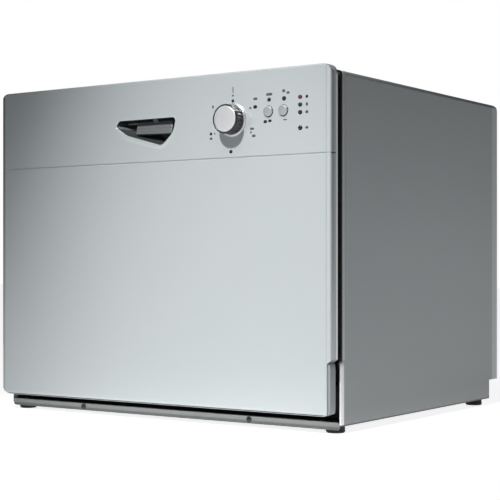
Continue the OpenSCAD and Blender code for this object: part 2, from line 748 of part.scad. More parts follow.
// Heating element: an open ring over the basin with two legs through the floor
heater_gap = 11;
heater_z = basin_z + 8;
heater_leg_x = heater_r * sin(heater_gap);
heater_leg_y = heater_r * cos(heater_gap);
module heater() {
  color([0.45, 0.44, 0.42]) place() translate([0, centre_y, 0]) {
    translate([0, 0, heater_z]) rotate(90 + heater_gap) rotate_extrude(angle = 360 - 2 * heater_gap)
      translate([heater_r, 0]) circle(d = heater_d, $fn = 40);
    for (s = [-1, 1]) translate([s * heater_leg_x, heater_leg_y, 0]) {
      translate([0, 0, heater_z]) sphere(d = heater_d + 1, $fn = 40);
      translate([0, 0, under_basin - 10]) cylinder(d = heater_d, h = heater_z - under_basin + 10);
      translate([0, 0, under_basin - 4]) cylinder(d = heater_d + 9, h = 4, $fn = 6);
    }
    // support feet under the ring
    for (a = [200, 340]) rotate(a) translate([heater_r, 0, basin_z]) {
      cylinder(d = 5, h = 6);
      cylinder(d = 9, h = 1.2);
    }
  }
}

// Hollow post that feeds and carries the spray arm
arm_z = basin_z + 12.3;
arm_h = 13.5;
module spray_post() {
  color([0.3, 0.31, 0.33]) place() translate([0, centre_y, 0]) difference() {
    union() {
      translate([0, 0, basin_z]) cylinder(d = 46, h = 2.5);
      translate([0, 0, under_basin - 7.5]) cylinder(d = arm_bore_d + 5, h = arm_z - under_basin + 7.5 - seat);
      translate([0, 0, basin_z]) cylinder(d = arm_bore_d - run, h = arm_z - basin_z + arm_h + 1);
      translate([0, 0, arm_z + arm_h + seat]) cylinder(d = arm_bore_d + 10, h = 2.6);
      for (k = [0:7]) rotate(k * 45) translate([arm_bore_d / 2 + 3.5, 0, arm_z + arm_h + seat]) cylinder(d = 4.4, h = 2.6);
    }
    translate([0, 0, under_basin - 8.5]) cylinder(d = arm_bore_d - 5, h = arm_z - under_basin + arm_h + 6);
  }
}

// Plan of the spray arm: two tapering blades, swept a little so that the jets turn it
module arm_plan(i) {
  polygon([[-arm_r + 15, -14 + i], [-60, -24 + i], [0, -27 + i], [60, -18 + i], [arm_r - 15, -15 + i],
           [arm_r - 15, 14 - i], [60, 24 - i], [0, 27 - i], [-60, 18 - i], [-arm_r + 15, 15 - i]]);
  translate([arm_r - 15, 0]) circle(14.5 - i);
  translate([-arm_r + 15, 0]) circle(14.5 - i);
}
module spray_arm() {
  top_r1 = 90;
  color([0.55, 0.57, 0.6]) place() translate([0, centre_y, arm_z]) difference() {
    union() {
      intersection() {
        translate([0, 0, 1.5]) linear_extrude(arm_h - 2.5) arm_plan(0);
        translate([0, 0, arm_h - 1 - top_r1]) rotate([0, 90, 0])
          cylinder(r = top_r1, h = 2 * arm_r + 4, center = true, $fn = 180);
      }
      cylinder(d = arm_bore_d + 18, h = arm_h);
    }
    translate([0, 0, -cut]) cylinder(d = arm_bore_d, h = arm_h + 2 * cut);
    // jets: a row along each blade
    for (s = [-1, 1], k = [0:5]) rotate(s > 0 ? 0 : 180) translate([50 + k * 22, 4 - k * 1.6, 2.4])
      rotate([s * 12, 0, 0]) cylinder(d = 3.2, h = arm_h, $fn = 24);
  }
}

// Circulation pump: volute, motor and terminal block
module circulation_pump() {
  y0 = centre_y - 15;
  color([0.16, 0.17, 0.19]) place() {
    difference() {
      union() {
        cyl_y(filter_x, pump_z, y0, y0 + 30, pump_d);
        cyl_x(centre_y, hose_z, filter_x - pump_d / 2 - 12, filter_x, 24);
        cyl_y(filter_x, pump_z, y0 + 30, y0 + 34, pump_d - 2);
        cyl_y(filter_x, pump_z, y0 + 34, y0 + 120, pump_d - 6);
              box(filter_x - 14, filter_x + 14, y0 + 108, y0 + 128, pump_z - 10, pump_z + 16);
      }
      cyl_y(filter_x, pump_z, y0 - cut, y0 + 20, 24);
      cyl_x(centre_y, hose_z, filter_x - pump_d / 2 - 13, filter_x - 10, 18);
    }
  }
}

// Hose from the pump to the spray post
module circulation_hose() {
  bend = under_basin - 7.5 - hose_z;
  x1 = filter_x - pump_d / 2 - 12;
  color([0.12, 0.12, 0.13]) place() translate([0, centre_y, hose_z]) difference() {
    union() {
      cyl_x(0, 0, bend, x1, 24);
      translate([bend, 0, bend]) rotate([90, 0, 0]) rotate_extrude(angle = 90, start = 180)
        translate([bend, 0]) circle(d = 24);
    }
    cyl_x(0, 0, bend, x1 + cut, 18);
    translate([bend, 0, bend]) rotate([90, 0, 0]) rotate_extrude(angle = 90, start = 180)
      translate([bend, 0]) circle(d = 18);
  }
}

// Drain pump beside the sump
drain_x = filter_x + 70;
drain_z = pump_z - 7;
module drain_pump() {
  x0 = filter_x + sump_d / 2 + 10;
  color([0.22, 0.23, 0.25]) place() difference() {
    union() {
      cyl_x(filter_y, drain_z, x0, x0 + 54, 44);
      cyl_x(filter_y, drain_z, x0 + 54, x0 + 62, 30);
      cyl_y(drain_x, drain_z, filter_y, filter_y + 32, 20);
    }
    cyl_x(filter_y, drain_z, x0 - cut, x0 + 16, 20);
    cyl_y(drain_x, drain_z, filter_y + 10, filter_y + 33, 14);
  }
}

// Straight drain hose to the spigot in the rear wall
module drain_hose() {
  color([0.3, 0.3, 0.32]) place() difference() {
    cyl_y(drain_x, drain_z, filter_y + 32, tray_rear, 20);
    cyl_y(drain_x, drain_z, filter_y + 31, tray_rear + cut, 14);
  }
}

// Water softener with its filling neck through the tub's floor
softener_z = 18;
module softener() {
  top = under_basin - 4;
  color([0.8, 0.8, 0.76]) place() difference() {
    union() {
      along_z(softener_z, top) rrect(salt_x - 68, salt_x + 66, filter_y - 44, filter_y + 84, 14);
      cyl_z(salt_x, filter_y, top - cut, under_basin, 60);
      cyl_z(salt_x, filter_y, top - cut, basin_z + 3, 45);
    }
    cyl_z(salt_x, filter_y, softener_z + 30, basin_z + 4, 38);
  }
}

// Screw cap of the salt filler with its grip
module salt_cap() {
  color([0.85, 0.86, 0.86]) place() translate([salt_x, filter_y, basin_z + 3 + seat]) {
    difference() {
      union() {
        cylinder(d = 52, h = 2.4);
        translate([0, 0, -8]) cylinder(d = 36, h = 9);
        for (k = [0:11]) rotate(k * 30) translate([25, 0, 0]) cylinder(d = 5, h = 2.4, $fn = 24);
      }
      translate([0, 0, -9]) cylinder(d = 31, h = 8);
    }
    translate([-19, -2.2, 2]) cube([38, 4.4, 4.6]);
  }
}

// Flat water-inlet chamber hung on the tub's left side
module air_break() {
  x1 = -tub_half - 3 - seat;
  x0 = x1 - 34;
  y0 = centre_y + 14;
  y1 = tub_back - 4;
  color([0.75, 0.78, 0.8]) place() difference() {
    union() {
      along_x(x0, x1) rrect(y0, y1, hose_top + 6, tub_top - 23, 16);
      cyl_z(inlet_up_x, inlet_hose_y, hose_top, hose_top + 14, 18);
    }
    // pressed channels on the outer face
    for (k = [0:3]) along_x(x0 - cut, x0 + 4) rrect(y0 + 14 + k * 42, y0 + 42 + k * 42, hose_top + 34, tub_top - 49, 8);
  }
}

// Inlet valve: thread outside the rear wall, body and coil inside
inlet_x = filter_x + 4;
inlet_z = 68;
inlet_hose_y = tray_rear - 22;
inlet_up_x = -tub_half - 20;
hose_top = tub_z + 32;
module inlet_valve() {
  y1 = tray_rear + tray_wall;
  color([0.85, 0.85, 0.82]) place() difference() {
    union() {
      cyl_y(inlet_x, inlet_z, y1, rear_y - 4, inlet_d);
      cyl_y(inlet_x, inlet_z, y1, y1 + 3, inlet_d + 6);
      cyl_y(inlet_x, inlet_z, tray_rear - 10, y1 + cut, inlet_d - 4 - run);
      box(inlet_x - 16, inlet_x + 16, tray_rear - 34, tray_rear - seat, inlet_z - 12, inlet_z + 12);
      box(inlet_x - 11, inlet_x + 11, tray_rear - 32, tray_rear - 12, inlet_z - 30, inlet_z - 10);
    }
    cyl_y(inlet_x, inlet_z, y1 - 2, rear_y, inlet_d - 10);
    cyl_x(inlet_hose_y, inlet_z, inlet_x - 17, inlet_x - 6, 9);
  }
}

// Hose from the valve along the back of the base and up to the inlet chamber
module inlet_hose() {
  bend = 16;
  d = 14;
  x1 = inlet_x - 16;
  color([0.85, 0.86, 0.88]) place() translate([0, inlet_hose_y, 0]) difference() {
    union() {
      translate([0, 0, inlet_z]) cyl_x(0, 0, inlet_up_x + bend, x1, d);
      translate([inlet_up_x + bend, 0, inlet_z + bend]) rotate([90, 0, 0])
        rotate_extrude(angle = 90, start = 180) translate([bend, 0]) circle(d = d);
      cyl_z(inlet_up_x, 0, inlet_z + bend, hose_top, d);
    }
    translate([0, 0, inlet_z]) cyl_x(0, 0, inlet_up_x + bend, x1 + cut, d - 5);
    translate([inlet_up_x + bend, 0, inlet_z + bend]) rotate([90, 0, 0])
      rotate_extrude(angle = 90, start = 180) translate([bend, 0]) circle(d = d - 5);
    cyl_z(inlet_up_x, 0, inlet_z + bend, hose_top + cut, d - 5);
  }
}

// Cable gland in the rear wall
gland_x = filter_x - 36;
module cable_gland() {
  y1 = tray_rear + tray_wall;
  color([0.08, 0.08, 0.09]) place() difference() {
    union() {
      cyl_y(gland_x, inlet_z, y1, y1 + 6, gland_bore + 14);
      cyl_y(gland_x, inlet_z, y1 + 5, y1 + 16, gland_bore + 7);
      cyl_y(gland_x, inlet_z, tray_rear - 12, y1 + cut, gland_bore + 6);
      translate([gland_x, tray_rear, inlet_z]) rotate([90, 0, 0]) cylinder(d = gland_bore + 14, h = 5, $fn = 6);
    }
    cyl_y(gland_x, inlet_z, tray_rear - 13, y1 + 17, gland_bore);
  }
}

// ---------------------------------------------------------------- door
// Front view of the door between two heights, drawn in by i, with the steps beside the hinges
module door_front(z0, z1, i) {
  slope = 5;
  difference() {
    intersection() {
      translate([-door_half + i, z0 + i]) square([door_w - 2 * i, z1 - z0 - 2 * i]);
      union() {
        rrect(-door_half + i, door_half - i, door_z + i, door_z + 60, door_bottom_r - i);
        translate([-door_half + i, door_z + 40]) square([door_w - 2 * i, door_h - 80]);
        rrect(-door_half + i, door_half - i, door_top - 60, door_top - i, door_top_r - i);
      }
    }
    polygon([[door_half - relief_right - i, 0], [door_half - relief_right - i, relief_top - slope],
             [door_half - i + 0.01, relief_top], [door_half + cut, relief_top], [door_half + cut, 0]]);
    polygon([[-door_half + relief_left + i, 0], [-door_half + relief_left + i, relief_top - slope / 3],
             [-door_half + i - 0.01, relief_top], [-door_half - cut, relief_top], [-door_half - cut, 0]]);
  }
}

// The round front edges: a block whose edges around the face are rounded by r
module soft_front(r, r_low) {
  intersection() {
    along_z(door_z - cut, door_top + cut) rrect(-door_half, door_half, 0, door_t + 9, r);
    along_x(-door_half - cut, door_half + cut) {
      translate([r_low, door_z]) square([door_t + 4, door_h]);
      translate([0, door_z + r_low]) square([door_t, door_h - r_low - r]);
      translate([r, door_z + r_low]) square([door_t, door_h - r_low]);
      translate([r_low, door_z + r_low]) circle(r_low);
      translate([r, door_top - r]) circle(r);
    }
  }
}

// Painted outer panel: a shallow tray from the seam down
module door_panel() {
  z1 = seam_z - seam / 2;
  color([0.75, 0.77, 0.78]) place() difference() {
    intersection() {
      along_y(0, return_y) door_front(door_z, z1, 0);
      soft_front(panel_edge_r, 5);
      // softened edge along the seam
      along_x(-door_half - cut, door_half + cut) {
        translate([0, 0]) square([door_t, z1 - 1.5]);
        translate([1.5, 0]) square([door_t, z1]);
        translate([1.5, z1 - 1.5]) circle(1.5);
      }
    }
    along_y(sheet_t, return_y + cut) door_front(door_z, z1, sheet_t);
  }
}

// Outline of the handle recess, grown by g
module recess_outline(g) {
  p = [[-57, 0.8, 5], [39, 0.8, 5], [35, -19, 26], [15, -36, 10], [-44, -20, 40], [-63, -7.5, 4]];
  c = [-9, -14];
  translate([0, handle_z]) polygon(rounded([for (q = p) [
    c[0] + (q[0] - c[0]) * (1 + g / 48), c[1] + (q[1] - c[1]) * (1 + g / 19), q[2]]]));
}

// Control fascia: moulded face with the handle recess and the holes for knob, buttons and lenses
module fascia() {
  z0 = seam_z + seam / 2;
  color([0.72, 0.74, 0.75]) place() difference() {
    intersection() {
      along_y(0, return_y) door_front(z0, door_top, 0);
      soft_front(panel_edge_r, 5);
    }
    along_y(fascia_t, return_y + cut) difference() {
      door_front(z0, door_top, fascia_t);
      for (x = [-240, 240]) translate([x, z0]) square([3, 10]);
    }
    along_y(-cut, fascia_t + cut) {
      recess_outline(0);
      translate([knob_x, knob_z]) circle(d = 14);
      for (k = [0, 1]) translate([button_x + k * button_pitch, button_z]) circle(d = button_d + 2 * seat);
      for (dz = lens_zs) translate([lens_x, knob_z + dz]) circle(d = lens_d + 0.2);
      for (k = [0, 1]) translate([button_x + 1 + k * button_pitch, button_z + 14.2]) circle(d = lens_d - 0.4);
    }
  }
}

// Stainless inner door: rim, raised plateau with two pressed ribs, slots for the hinge arms and the latch
module door_liner() {
  color([0.8, 0.81, 0.82]) place() difference() {
    union() {
      difference() {
        along_y(return_y + seat / 2, door_t) door_front(door_z, door_top, 0);
        along_y(return_y, door_t - sheet_t) door_front(door_z, door_top, sheet_t);
      }
      along_y(door_t - sheet_t, plateau_y) rrect(-plateau_half, plateau_half, plateau_z0, plateau_z1, 18);
    }
    along_y(door_t - 2, plateau_y - sheet_t)
      rrect(-plateau_half + sheet_t, plateau_half - sheet_t, plateau_z0 + sheet_t, plateau_z1 - sheet_t, 18 - sheet_t);
    along_y(plateau_y - 4, plateau_y + cut) rrect(-disp_half + 5, disp_half - 5, disp_z - disp_h / 2 + 5, disp_z + disp_h / 2 - 5, 6);
    for (s = [-1, 1]) scale_x(s) box(spring_x - 4, spring_x + 4, 0, door_t + cut, hinge_z - 8, hinge_z + 46);
    box(-hook_w / 2 - 2, hook_w / 2 + 2, 0, door_t + cut, latch_z - 7, latch_z + 5);
  }
}

// Insulation pad between the outer panel and the liner
module door_insulation() {
  color([0.85, 0.83, 0.75]) place() along_y(sheet_t + 1, door_t - sheet_t - 0.5)
    rrect(-tub_half, tub_half, relief_top + 30, seam_z - 12, 10);
}

// Lower lip seal on the liner
module door_bottom_seal() {
  z1 = tub_z - 2;
  color([0.09, 0.09, 0.09]) place() along_x(-tub_half - 8, tub_half + 8) {
    translate([door_t, z1 - 9]) square([2, 9]);
    polygon([[door_t, z1 - 5], [flange_y - seat, z1 - 2.5], [flange_y - seat, z1 - 0.5], [door_t, z1]]);
  }
}

// Moulded cup behind the recess
module handle_cup() {
  back = 25;
  color([0.25, 0.26, 0.27]) place() difference() {
    union() {
      along_y(fascia_t, back) recess_outline(3);
      along_y(fascia_t, fascia_t + 1.8) recess_outline(7);
    }
    along_y(fascia_t - cut, back - 2) recess_outline(0.4);
    // bores for the lever's pivots and a window for its finger
    cyl_x(lever_y, lever_z, lever_x0, lever_x1, 4 + run);
    box(-6, 6, fascia_t - cut, lever_y + 6, handle_z - 2, handle_z + 9);
  }
}

// Lever in the top of the recess: pulled outwards at its lower edge, its finger pushes the hook's tail back
module handle_lever() {
  color([0.55, 0.56, 0.57]) place() {
    along_x(-34, 27) {
      translate([lever_y, lever_z]) circle(2.8);
      polygon([[lever_y - 2.8, lever_z], [lever_y + 2.2, lever_z], [lever_y - 2.6, lever_z - 15],
               [lever_y - 7.4, lever_z - 17], [lever_y - 8, lever_z - 13.5]]);
      translate([lever_y - 5.6, lever_z - 15]) circle(2);
    }
    cyl_x(lever_y, lever_z, lever_x0 + seat, lever_x1 - seat, 4);
    along_x(-4, 4) {
      polygon([[lever_y - 4, lever_z - 2], [lever_y + 1, lever_z - 1], [finger_y, lever_z + 7],
               [finger_y, finger_z], [finger_y - 4, finger_z], [finger_y - 4, lever_z + 5]]);
      translate([finger_y - 2, finger_z]) circle(2);
    }
  }
}

// Housing of the latch at the top of the door
module latch_body() {
  color([0.15, 0.15, 0.16]) place() difference() {
    box(-26, 26, fascia_t + seat, door_t - sheet_t - seat, latch_z - 14, latch_z + 5);
    box(-hook_w / 2 - 2 * seat, hook_w / 2 + 2 * seat, fascia_t + 1.5, door_t + 9, latch_z - 15, latch_z + 6);
    cyl_x(latch_pivot_y, latch_z, -12, 12, 4 + run);
    for (s = [-1, 1]) cyl_y(s * 20, latch_z - 4, 0, door_t, 3.6);
  }
}

// Hook that reaches through the flange, over the keeper
module latch_hook() {
  y1 = flange_y + sheet_t;
  color([0.75, 0.76, 0.77]) place() {
    along_x(-hook_w / 2, hook_w / 2) {
      translate([latch_pivot_y, latch_z]) circle(3.6);
      translate([latch_pivot_y, latch_z - 2]) square([y1 + 10 - latch_pivot_y, 3.6]);
      polygon([[y1 + 6.7, latch_z - 3.5], [y1 + 8.2, latch_z - 3.5], [y1 + 10, latch_z - 2], [y1 + 10, latch_z],
               [y1 + 6.7, latch_z]]);
      translate([latch_pivot_y, finger_z - 1]) square([hook_t, latch_z - finger_z + 1]);
    }
    cyl_x(latch_pivot_y, latch_z, -9, 9, 4);
  }
}

// ---------------------------------------------------------------- controls
// Ring on the fascia around the knob's foot
module knob_bezel() {
  color([0.8, 0.81, 0.82]) place() translate([knob_x, 0, knob_z]) rotate([90, 0, 0]) rotate_extrude()
    polygon(rounded([[knob_d / 2 - 5, 0, 0.01], [knob_d / 2 + 2.5, 0, 0.3], [knob_d / 2 + 2.5, bezel_t, 1.6],
                     [knob_d / 2 - 5, bezel_t, 0.3]], 4));
}

// Program knob: fluted barrel, domed cap with a rim and its shaft into the switch
module program_knob() {
  foot = bezel_t + seat;
  color([0.35, 0.36, 0.38]) place() translate([knob_x, 0, knob_z]) rotate([90, 0, 0]) difference() {
    union() {
      translate([0, 0, foot]) cylinder(d = knob_d, h = knob_out - foot - 3);
      translate([0, 0, knob_out - 3]) rotate_extrude() polygon([
        [0, -cut], [knob_d / 2 - 0.4, -cut], [knob_d / 2 - 0.4, 0], [knob_d / 2 - 1.6, 2.2],
        [knob_d / 2 - 2.6, 2.6], [knob_d / 2 - 3.4, 2.2], [knob_d / 4, 2.8], [0, 3]]);
      translate([0, 0, -9]) cylinder(d = shaft_d, h = 9 + foot + cut);
    }
    for (k = [0:23]) rotate(k * 15) translate([knob_d / 2 + 0.5, 0, foot + 2]) cylinder(d = 2.6, h = knob_out - foot - 6, $fn = 24);
    rotate(-pointer_turn) translate([-0.6, knob_d / 2 - 7, knob_out - 0.9]) cube([1.2, 4.5, 3]);
  }
}

// Switch behind the fascia that the knob's shaft turns
module program_switch() {
  color([0.2, 0.2, 0.2]) place() difference() {
    union() {
      along_y(fascia_t + seat, board_y) rrect(knob_x - 17, knob_x + 17, knob_z - 17, knob_z + 17, 3);
    }
    cyl_y(knob_x, knob_z, 0, board_y - 1.5, shaft_d + run);
  }
}

// A push button with its collar behind the fascia and its stem
module push_button(x) {
  color([0.75, 0.76, 0.77]) place() translate([x, 0, button_z]) rotate([90, 0, 0]) {
    translate([0, 0, -fascia_t - seat]) rotate_extrude() polygon([
      [0, -cut], [button_d / 2, -cut], [button_d / 2, fascia_t + 2], [button_d / 2 - 0.8, fascia_t + 2.8],
      [button_d / 3, fascia_t + 3.1], [0, fascia_t + 3.2]]);
    translate([0, 0, -fascia_t - seat - 1.4]) cylinder(d = button_d + 3, h = 1.4);
    translate([0, 0, -board_y + tact_h + press + seat]) cylinder(d = 4, h = board_y - tact_h - press - fascia_t - seat);
  }
}
module button_left() push_button(button_x);
module button_right() push_button(button_x + button_pitch);

// Four round lenses in a column and one above each button
module indicator_lenses() {
  color([0.15, 0.05, 0.05]) place() {
    for (dz = lens_zs) cyl_y(lens_x, knob_z + dz, -0.2, board_y - 6, lens_d);
    for (k = [0, 1]) cyl_y(button_x + 1 + k * button_pitch, button_z + 14.2, -0.2, board_y - 6, lens_d - 0.6);
  }
}

// Control board with tact switches, lamps and relays
board_y = return_y;
module control_board() {
  z0 = seam_z + 9;
  color([0.12, 0.35, 0.2]) place() {
    difference() {
      box(knob_x - 34, lens_x + 8, board_y, board_y + 1.6, z0, knob_z + 40);
      for (x = [knob_x - 29, lens_x + 3], z = [z0 + 5, knob_z + 35]) cyl_y(x, z, board_y - cut, board_y + 3, 3.4);
    }
    for (k = [0, 1]) box(button_x + k * button_pitch - 3, button_x + k * button_pitch + 3, board_y - tact_h,
                         board_y, button_z - 3, button_z + 3);
    for (dz = lens_zs) cyl_y(lens_x, knob_z + dz, board_y - 5.7, board_y, 3);
    for (k = [0:2]) box(knob_x + 10 + k * 24, knob_x + 26 + k * 24, board_y + 1.6, plateau_y - 5, z0 + 6, z0 + 34);
  }
}

// ---------------------------------------------------------------- dispenser
// Detergent cup and rinse-aid tank in one moulding, with guides for the sliding lid
module dispenser_body() {
  z0 = disp_z - disp_h / 2;
  z1 = disp_z + disp_h / 2;
  color([0.62, 0.64, 0.66]) place() difference() {
    union() {
      along_y(plateau_y, disp_y) rrect(-disp_half, disp_half, z0, z1, 8);
      along_y(door_t + seat, plateau_y + cut) rrect(-disp_half + 5 + seat, disp_half - 5 - seat, z0 + 5 + seat, z1 - 5 - seat, 6 - seat);
      for (s = [0, 1]) {
        zr = s == 0 ? disp_z - cup_h / 2 - 6 : disp_z + cup_h / 2 + 3;
        box(-disp_half + 2, cup_x1 + lid_travel + 1, disp_y - cut, disp_y + 2.9, zr, zr + 3);
        zl = s == 0 ? disp_z - cup_h / 2 - 6 : disp_z + cup_h / 2 + 1.2;
        box(-disp_half + 2, cup_x1 + lid_travel + 1, disp_y + 2.9, disp_y + 4, zl, zl + 4.8);
      }
    }
    // detergent cup
    along_y(door_t + 2, disp_y + cut) rrect(cup_x0 + 3, cup_x1 - 3, disp_z - cup_h / 2 + 3, disp_z + cup_h / 2 - 3, 9);
    // seat of the rinse-aid cap
    cyl_y(cap_x, disp_z, disp_y - 12, disp_y + cut, 24);
    // catch bore and the sight window
    cyl_y(cap_x, catch_z, disp_y - 8, disp_y + cut, 8);
    cyl_y(cap_x, disp_z + 32, disp_y - 2, disp_y + cut, 9);
  }
}

// Lid of the detergent cup: slides sideways under the guides
module dispenser_lid() {
  color([0.7, 0.72, 0.74]) place() difference() {
    union() {
      box(cup_x0, cup_x1, disp_y + seat, disp_y + 2.6, disp_z - cup_h / 2 - 2.7, disp_z + cup_h / 2 + 2.7);
      box(cup_x0 + 6, cup_x1 - 4, disp_y + 2, disp_y + 5, disp_z - cup_h / 2 + 4, disp_z + cup_h / 2 - 4);
    }
    along_y(disp_y + 3.2, disp_y + 6) for (k = [0:3]) translate([cup_x0 + 12 + k * 9, disp_z]) rrect(-1.5, 1.5, -16, 16, 1.4);
  }
}

// Catch that frees the lid
module dispenser_catch() {
  color([0.2, 0.45, 0.7]) place() {
    cyl_y(cap_x, catch_z, disp_y - 5, disp_y + 2.4, 8 - 2 * seat);
  }
}

// Rinse-aid cap with its grip, turned a quarter to open
module rinse_cap() {
  color([0.2, 0.22, 0.25]) place() translate([cap_x, disp_y, disp_z]) rotate([-90, 0, 0]) {
    translate([0, 0, seat]) cylinder(d = 32, h = 2.4);
    translate([0, 0, -9]) cylinder(d = 24 - 2 * seat, h = 10);
    translate([-12, -2.4, 2]) cube([24, 4.8, 4]);
    for (k = [0:15]) rotate(k * 22.5) translate([15.6, 0, seat]) cylinder(d = 2.4, h = 2.4, $fn = 24);
  }
}

// ---------------------------------------------------------------- rack
module wire_x(y, z, x0, x1, d = wire_d) cyl_x(y, z, x0, x1, d);
module wire_y(x, z, y0, y1, d = wire_d) cyl_y(x, z, y0, y1, d);

// Floor mat of the rack
floor_n = 13;
function floor_x(i) = -wall_x + 6 + i * (2 * wall_x - 12) / (floor_n - 1);
module rack_floor() {
  w = wall_x - wire_d / 2 - seat;
  color([0.85, 0.86, 0.87]) place() {
    for (i = [0:floor_n - 1]) wire_y(floor_x(i), rack_z, rack_y0 + 2, rack_y1 - 2);
    for (j = [0:floor_rows - 1]) wire_x(floor_y(j), cross_z, -w, w);
  }
}

// Front and back grilles: the front leans out and carries a grip
module rack_end_walls() {
  len = norm([lean, rack_top - floor_top - seat]);
  tilt = atan2(lean, rack_top - floor_top - seat);
  color([0.85, 0.86, 0.87]) place() {
    // back
    back = floor_y(floor_rows - 1);
    for (i = [0:floor_n - 1]) cyl_z(floor_x(i), back, floor_top + seat, rack_top, wire_d);
    wire_x(back + wire_d * 0.4, rack_top, -wall_x + 3, wall_x - 3, rim_d);
    wire_x(back + wire_d * 0.9, rack_top - rack_h / 2, -wall_x + 3, wall_x - 3);
    // front
    translate([0, floor_y(0), floor_top + seat]) rotate([tilt, 0, 0]) {
      for (i = [0:floor_n - 1]) cyl_z(floor_x(i), 0, 0, len, wire_d);
      wire_x(-wire_d * 0.4, len, -wall_x + 3, wall_x - 3, rim_d);
      wire_x(-wire_d * 0.9, len / 2, -wall_x + 3, wall_x - 3);
      // moulded grip on the rim
      along_x(-70, 70) rrect(-wire_d * 0.4 - 6, -wire_d * 0.4 + 6, len - 9, len + 11, 5.5);
    }
  }
}

// Side grilles: they slope with the front at their front end
module rack_side_walls() {
  n = 9;
  color([0.85, 0.86, 0.87]) place() both_sides() {
    for (j = [0:n - 1]) {
      y = floor_y(0) + 8 + j * (floor_y(floor_rows - 1) - floor_y(0) - 16) / (n - 1);
      cyl_z(wall_x, y, rack_z - wire_d / 2, rack_top, wire_d);
    }
    wire_y(wall_x, rack_z, rack_y0 + 2, rack_y1 - 2);
    wire_y(wall_x, rack_top, floor_y(0) - lean + 5, floor_y(floor_rows - 1) - 1, rim_d);
    wire_y(wall_x - wire_d * 0.9, rack_top - rack_h / 2, floor_y(0) - lean / 2 + 5, floor_y(floor_rows - 1) - 3);
  }
  // clips that carry the cup shelf
  color([0.85, 0.86, 0.87]) place() for (k = [1, 7]) {
    y = shelf_y0 + 4 + (k + 0.5) * (shelf_y1 - shelf_y0 - 8) / 9;
    difference() {
      union() {
        box(-wall_x - 0.5, -shelf_x, y - 4, y + 4, shelf_z - 2.5, shelf_z + 2.5);
        cyl_y(-shelf_x, shelf_z, y - 4, y + 4, wire_d + 4);
        box(-wall_x - 0.5, -wall_x + 2.5, y - 4, y + 4, shelf_z - 2.5, rack_top);
      }
      cyl_y(-shelf_x, shelf_z, y - 5, y + 5, wire_d + run);
    }
  }
}

// Plate tines: rows of pegs on a bar
function tine_x(k) = (k - (tine_n - 1) / 2) * tine_pitch;
module plate_tines() {
  z = floor_top + wire_d / 2 + seat;
  color([0.85, 0.86, 0.87]) place() for (y = tine_rows) {
    wire_x(y, z, tine_x(0) - 8, tine_x(tine_n - 1) + 8);
    for (k = [0:tine_n - 1]) translate([tine_x(k), y, z]) {
      cylinder(d = wire_d - 0.4, h = tine_h);
      translate([0, 0, tine_h]) sphere(d = wire_d - 0.4);
    }
  }
}

// Plates on the side grilles that carry the wheels' axles
module wheel_brackets() {
  x0 = rack_half + seat / 2;
  x1 = rail_in - seat;
  color([0.8, 0.81, 0.82]) place() both_sides() for (y = [front_axle_y, rear_axle_y]) {
    along_x(x0, x1) rrect(y - 15, y + 15, axle_z - 8, rack_z + 14, 5);
    cyl_x(y, axle_z, x1 - cut, tub_half - 3, axle_d);
    cyl_x(y, axle_z, tub_half - 4.2, tub_half - 2.4, axle_d + 2.5);
  }
}

// A pair of wheels on one line
module wheel_pair(y) {
  x0 = rail_in + 2;
  x1 = tub_half - 4.6;
  color([0.88, 0.88, 0.87]) place() both_sides() difference() {
    union() {
      cyl_x(y, axle_z, x0, x1, 2 * wheel_r);
      cyl_x(y, axle_z, rail_in + 0.2, x1, axle_d + 5);
    }
    cyl_x(y, axle_z, x0 - 9, x1 + cut, axle_d + run);
    for (k = [0:4]) translate([0, y, axle_z]) rotate([k * 72, 0, 0]) cyl_x(0, (wheel_r + axle_d / 2) / 2 + 0.8, x0 + 3, x1 + cut, 2.4);
  }
}
module front_wheels() wheel_pair(front_axle_y);
module rear_wheels() wheel_pair(rear_axle_y);

// Folding cup shelf with its two clips' journals
module cup_shelf() {
  x0 = -shelf_x;
  color([0.85, 0.86, 0.87]) place() {
    wire_y(x0, shelf_z, shelf_y0, shelf_y1);
    wire_y(x0 + shelf_w, shelf_z, shelf_y0, shelf_y1);
    for (j = [0:9]) {
      y = shelf_y0 + 4 + j * (shelf_y1 - shelf_y0 - 8) / 9;
      wire_x(y, shelf_z + wire_d * 0.85, x0 - 1, x0 + shelf_w + 1, wire_d - 0.6);
    }
    for (k = [1, 2]) wire_y(x0 + k * shelf_w / 3, shelf_z + 0.6, shelf_y0, shelf_y1, wire_d - 0.8);
  }
}

// Cutlery basket: four slotted walls clipped around a slotted floor
basket_t = 2;
basket_z = floor_top + seat;
basket_nx = 2;
basket_ny = 3;
module wall_slots(n, x0, pitch) {
  for (i = [0:n - 1], j = [0:2]) translate([x0 + i * pitch, basket_z + 10 + j * 31]) square([5, 25]);
}
module cutlery_basket() {
  t = basket_t;
  g = seat / 3;
  z1 = basket_z + basket_h;
  color([0.5, 0.52, 0.54]) place() {
    for (y = [basket_y0, basket_y1 - t]) along_y(y, y + t) difference() {
      translate([basket_x0, basket_z + t + g]) square([basket_x1 - basket_x0, basket_h - t - g]);
      wall_slots(7, basket_x0 + 8.3, 10.4);
    }
    for (x = [basket_x0, basket_x1 - t]) along_x(x, x + t) difference() {
      translate([basket_y0 + t + g, basket_z + t + g]) square([basket_y1 - basket_y0 - 2 * t - 2 * g, basket_h - t - g]);
      wall_slots(6, basket_y0 + 9, 11.4);
    }
    along_z(basket_z, basket_z + t) difference() {
      rrect(basket_x0, basket_x1, basket_y0, basket_y1, 3);
      for (i = [0:6], j = [0:2]) translate([basket_x0 + 8.3 + i * 10.4, basket_y0 + 6 + j * 24.5]) square([5, 19]);
    }
  }
}

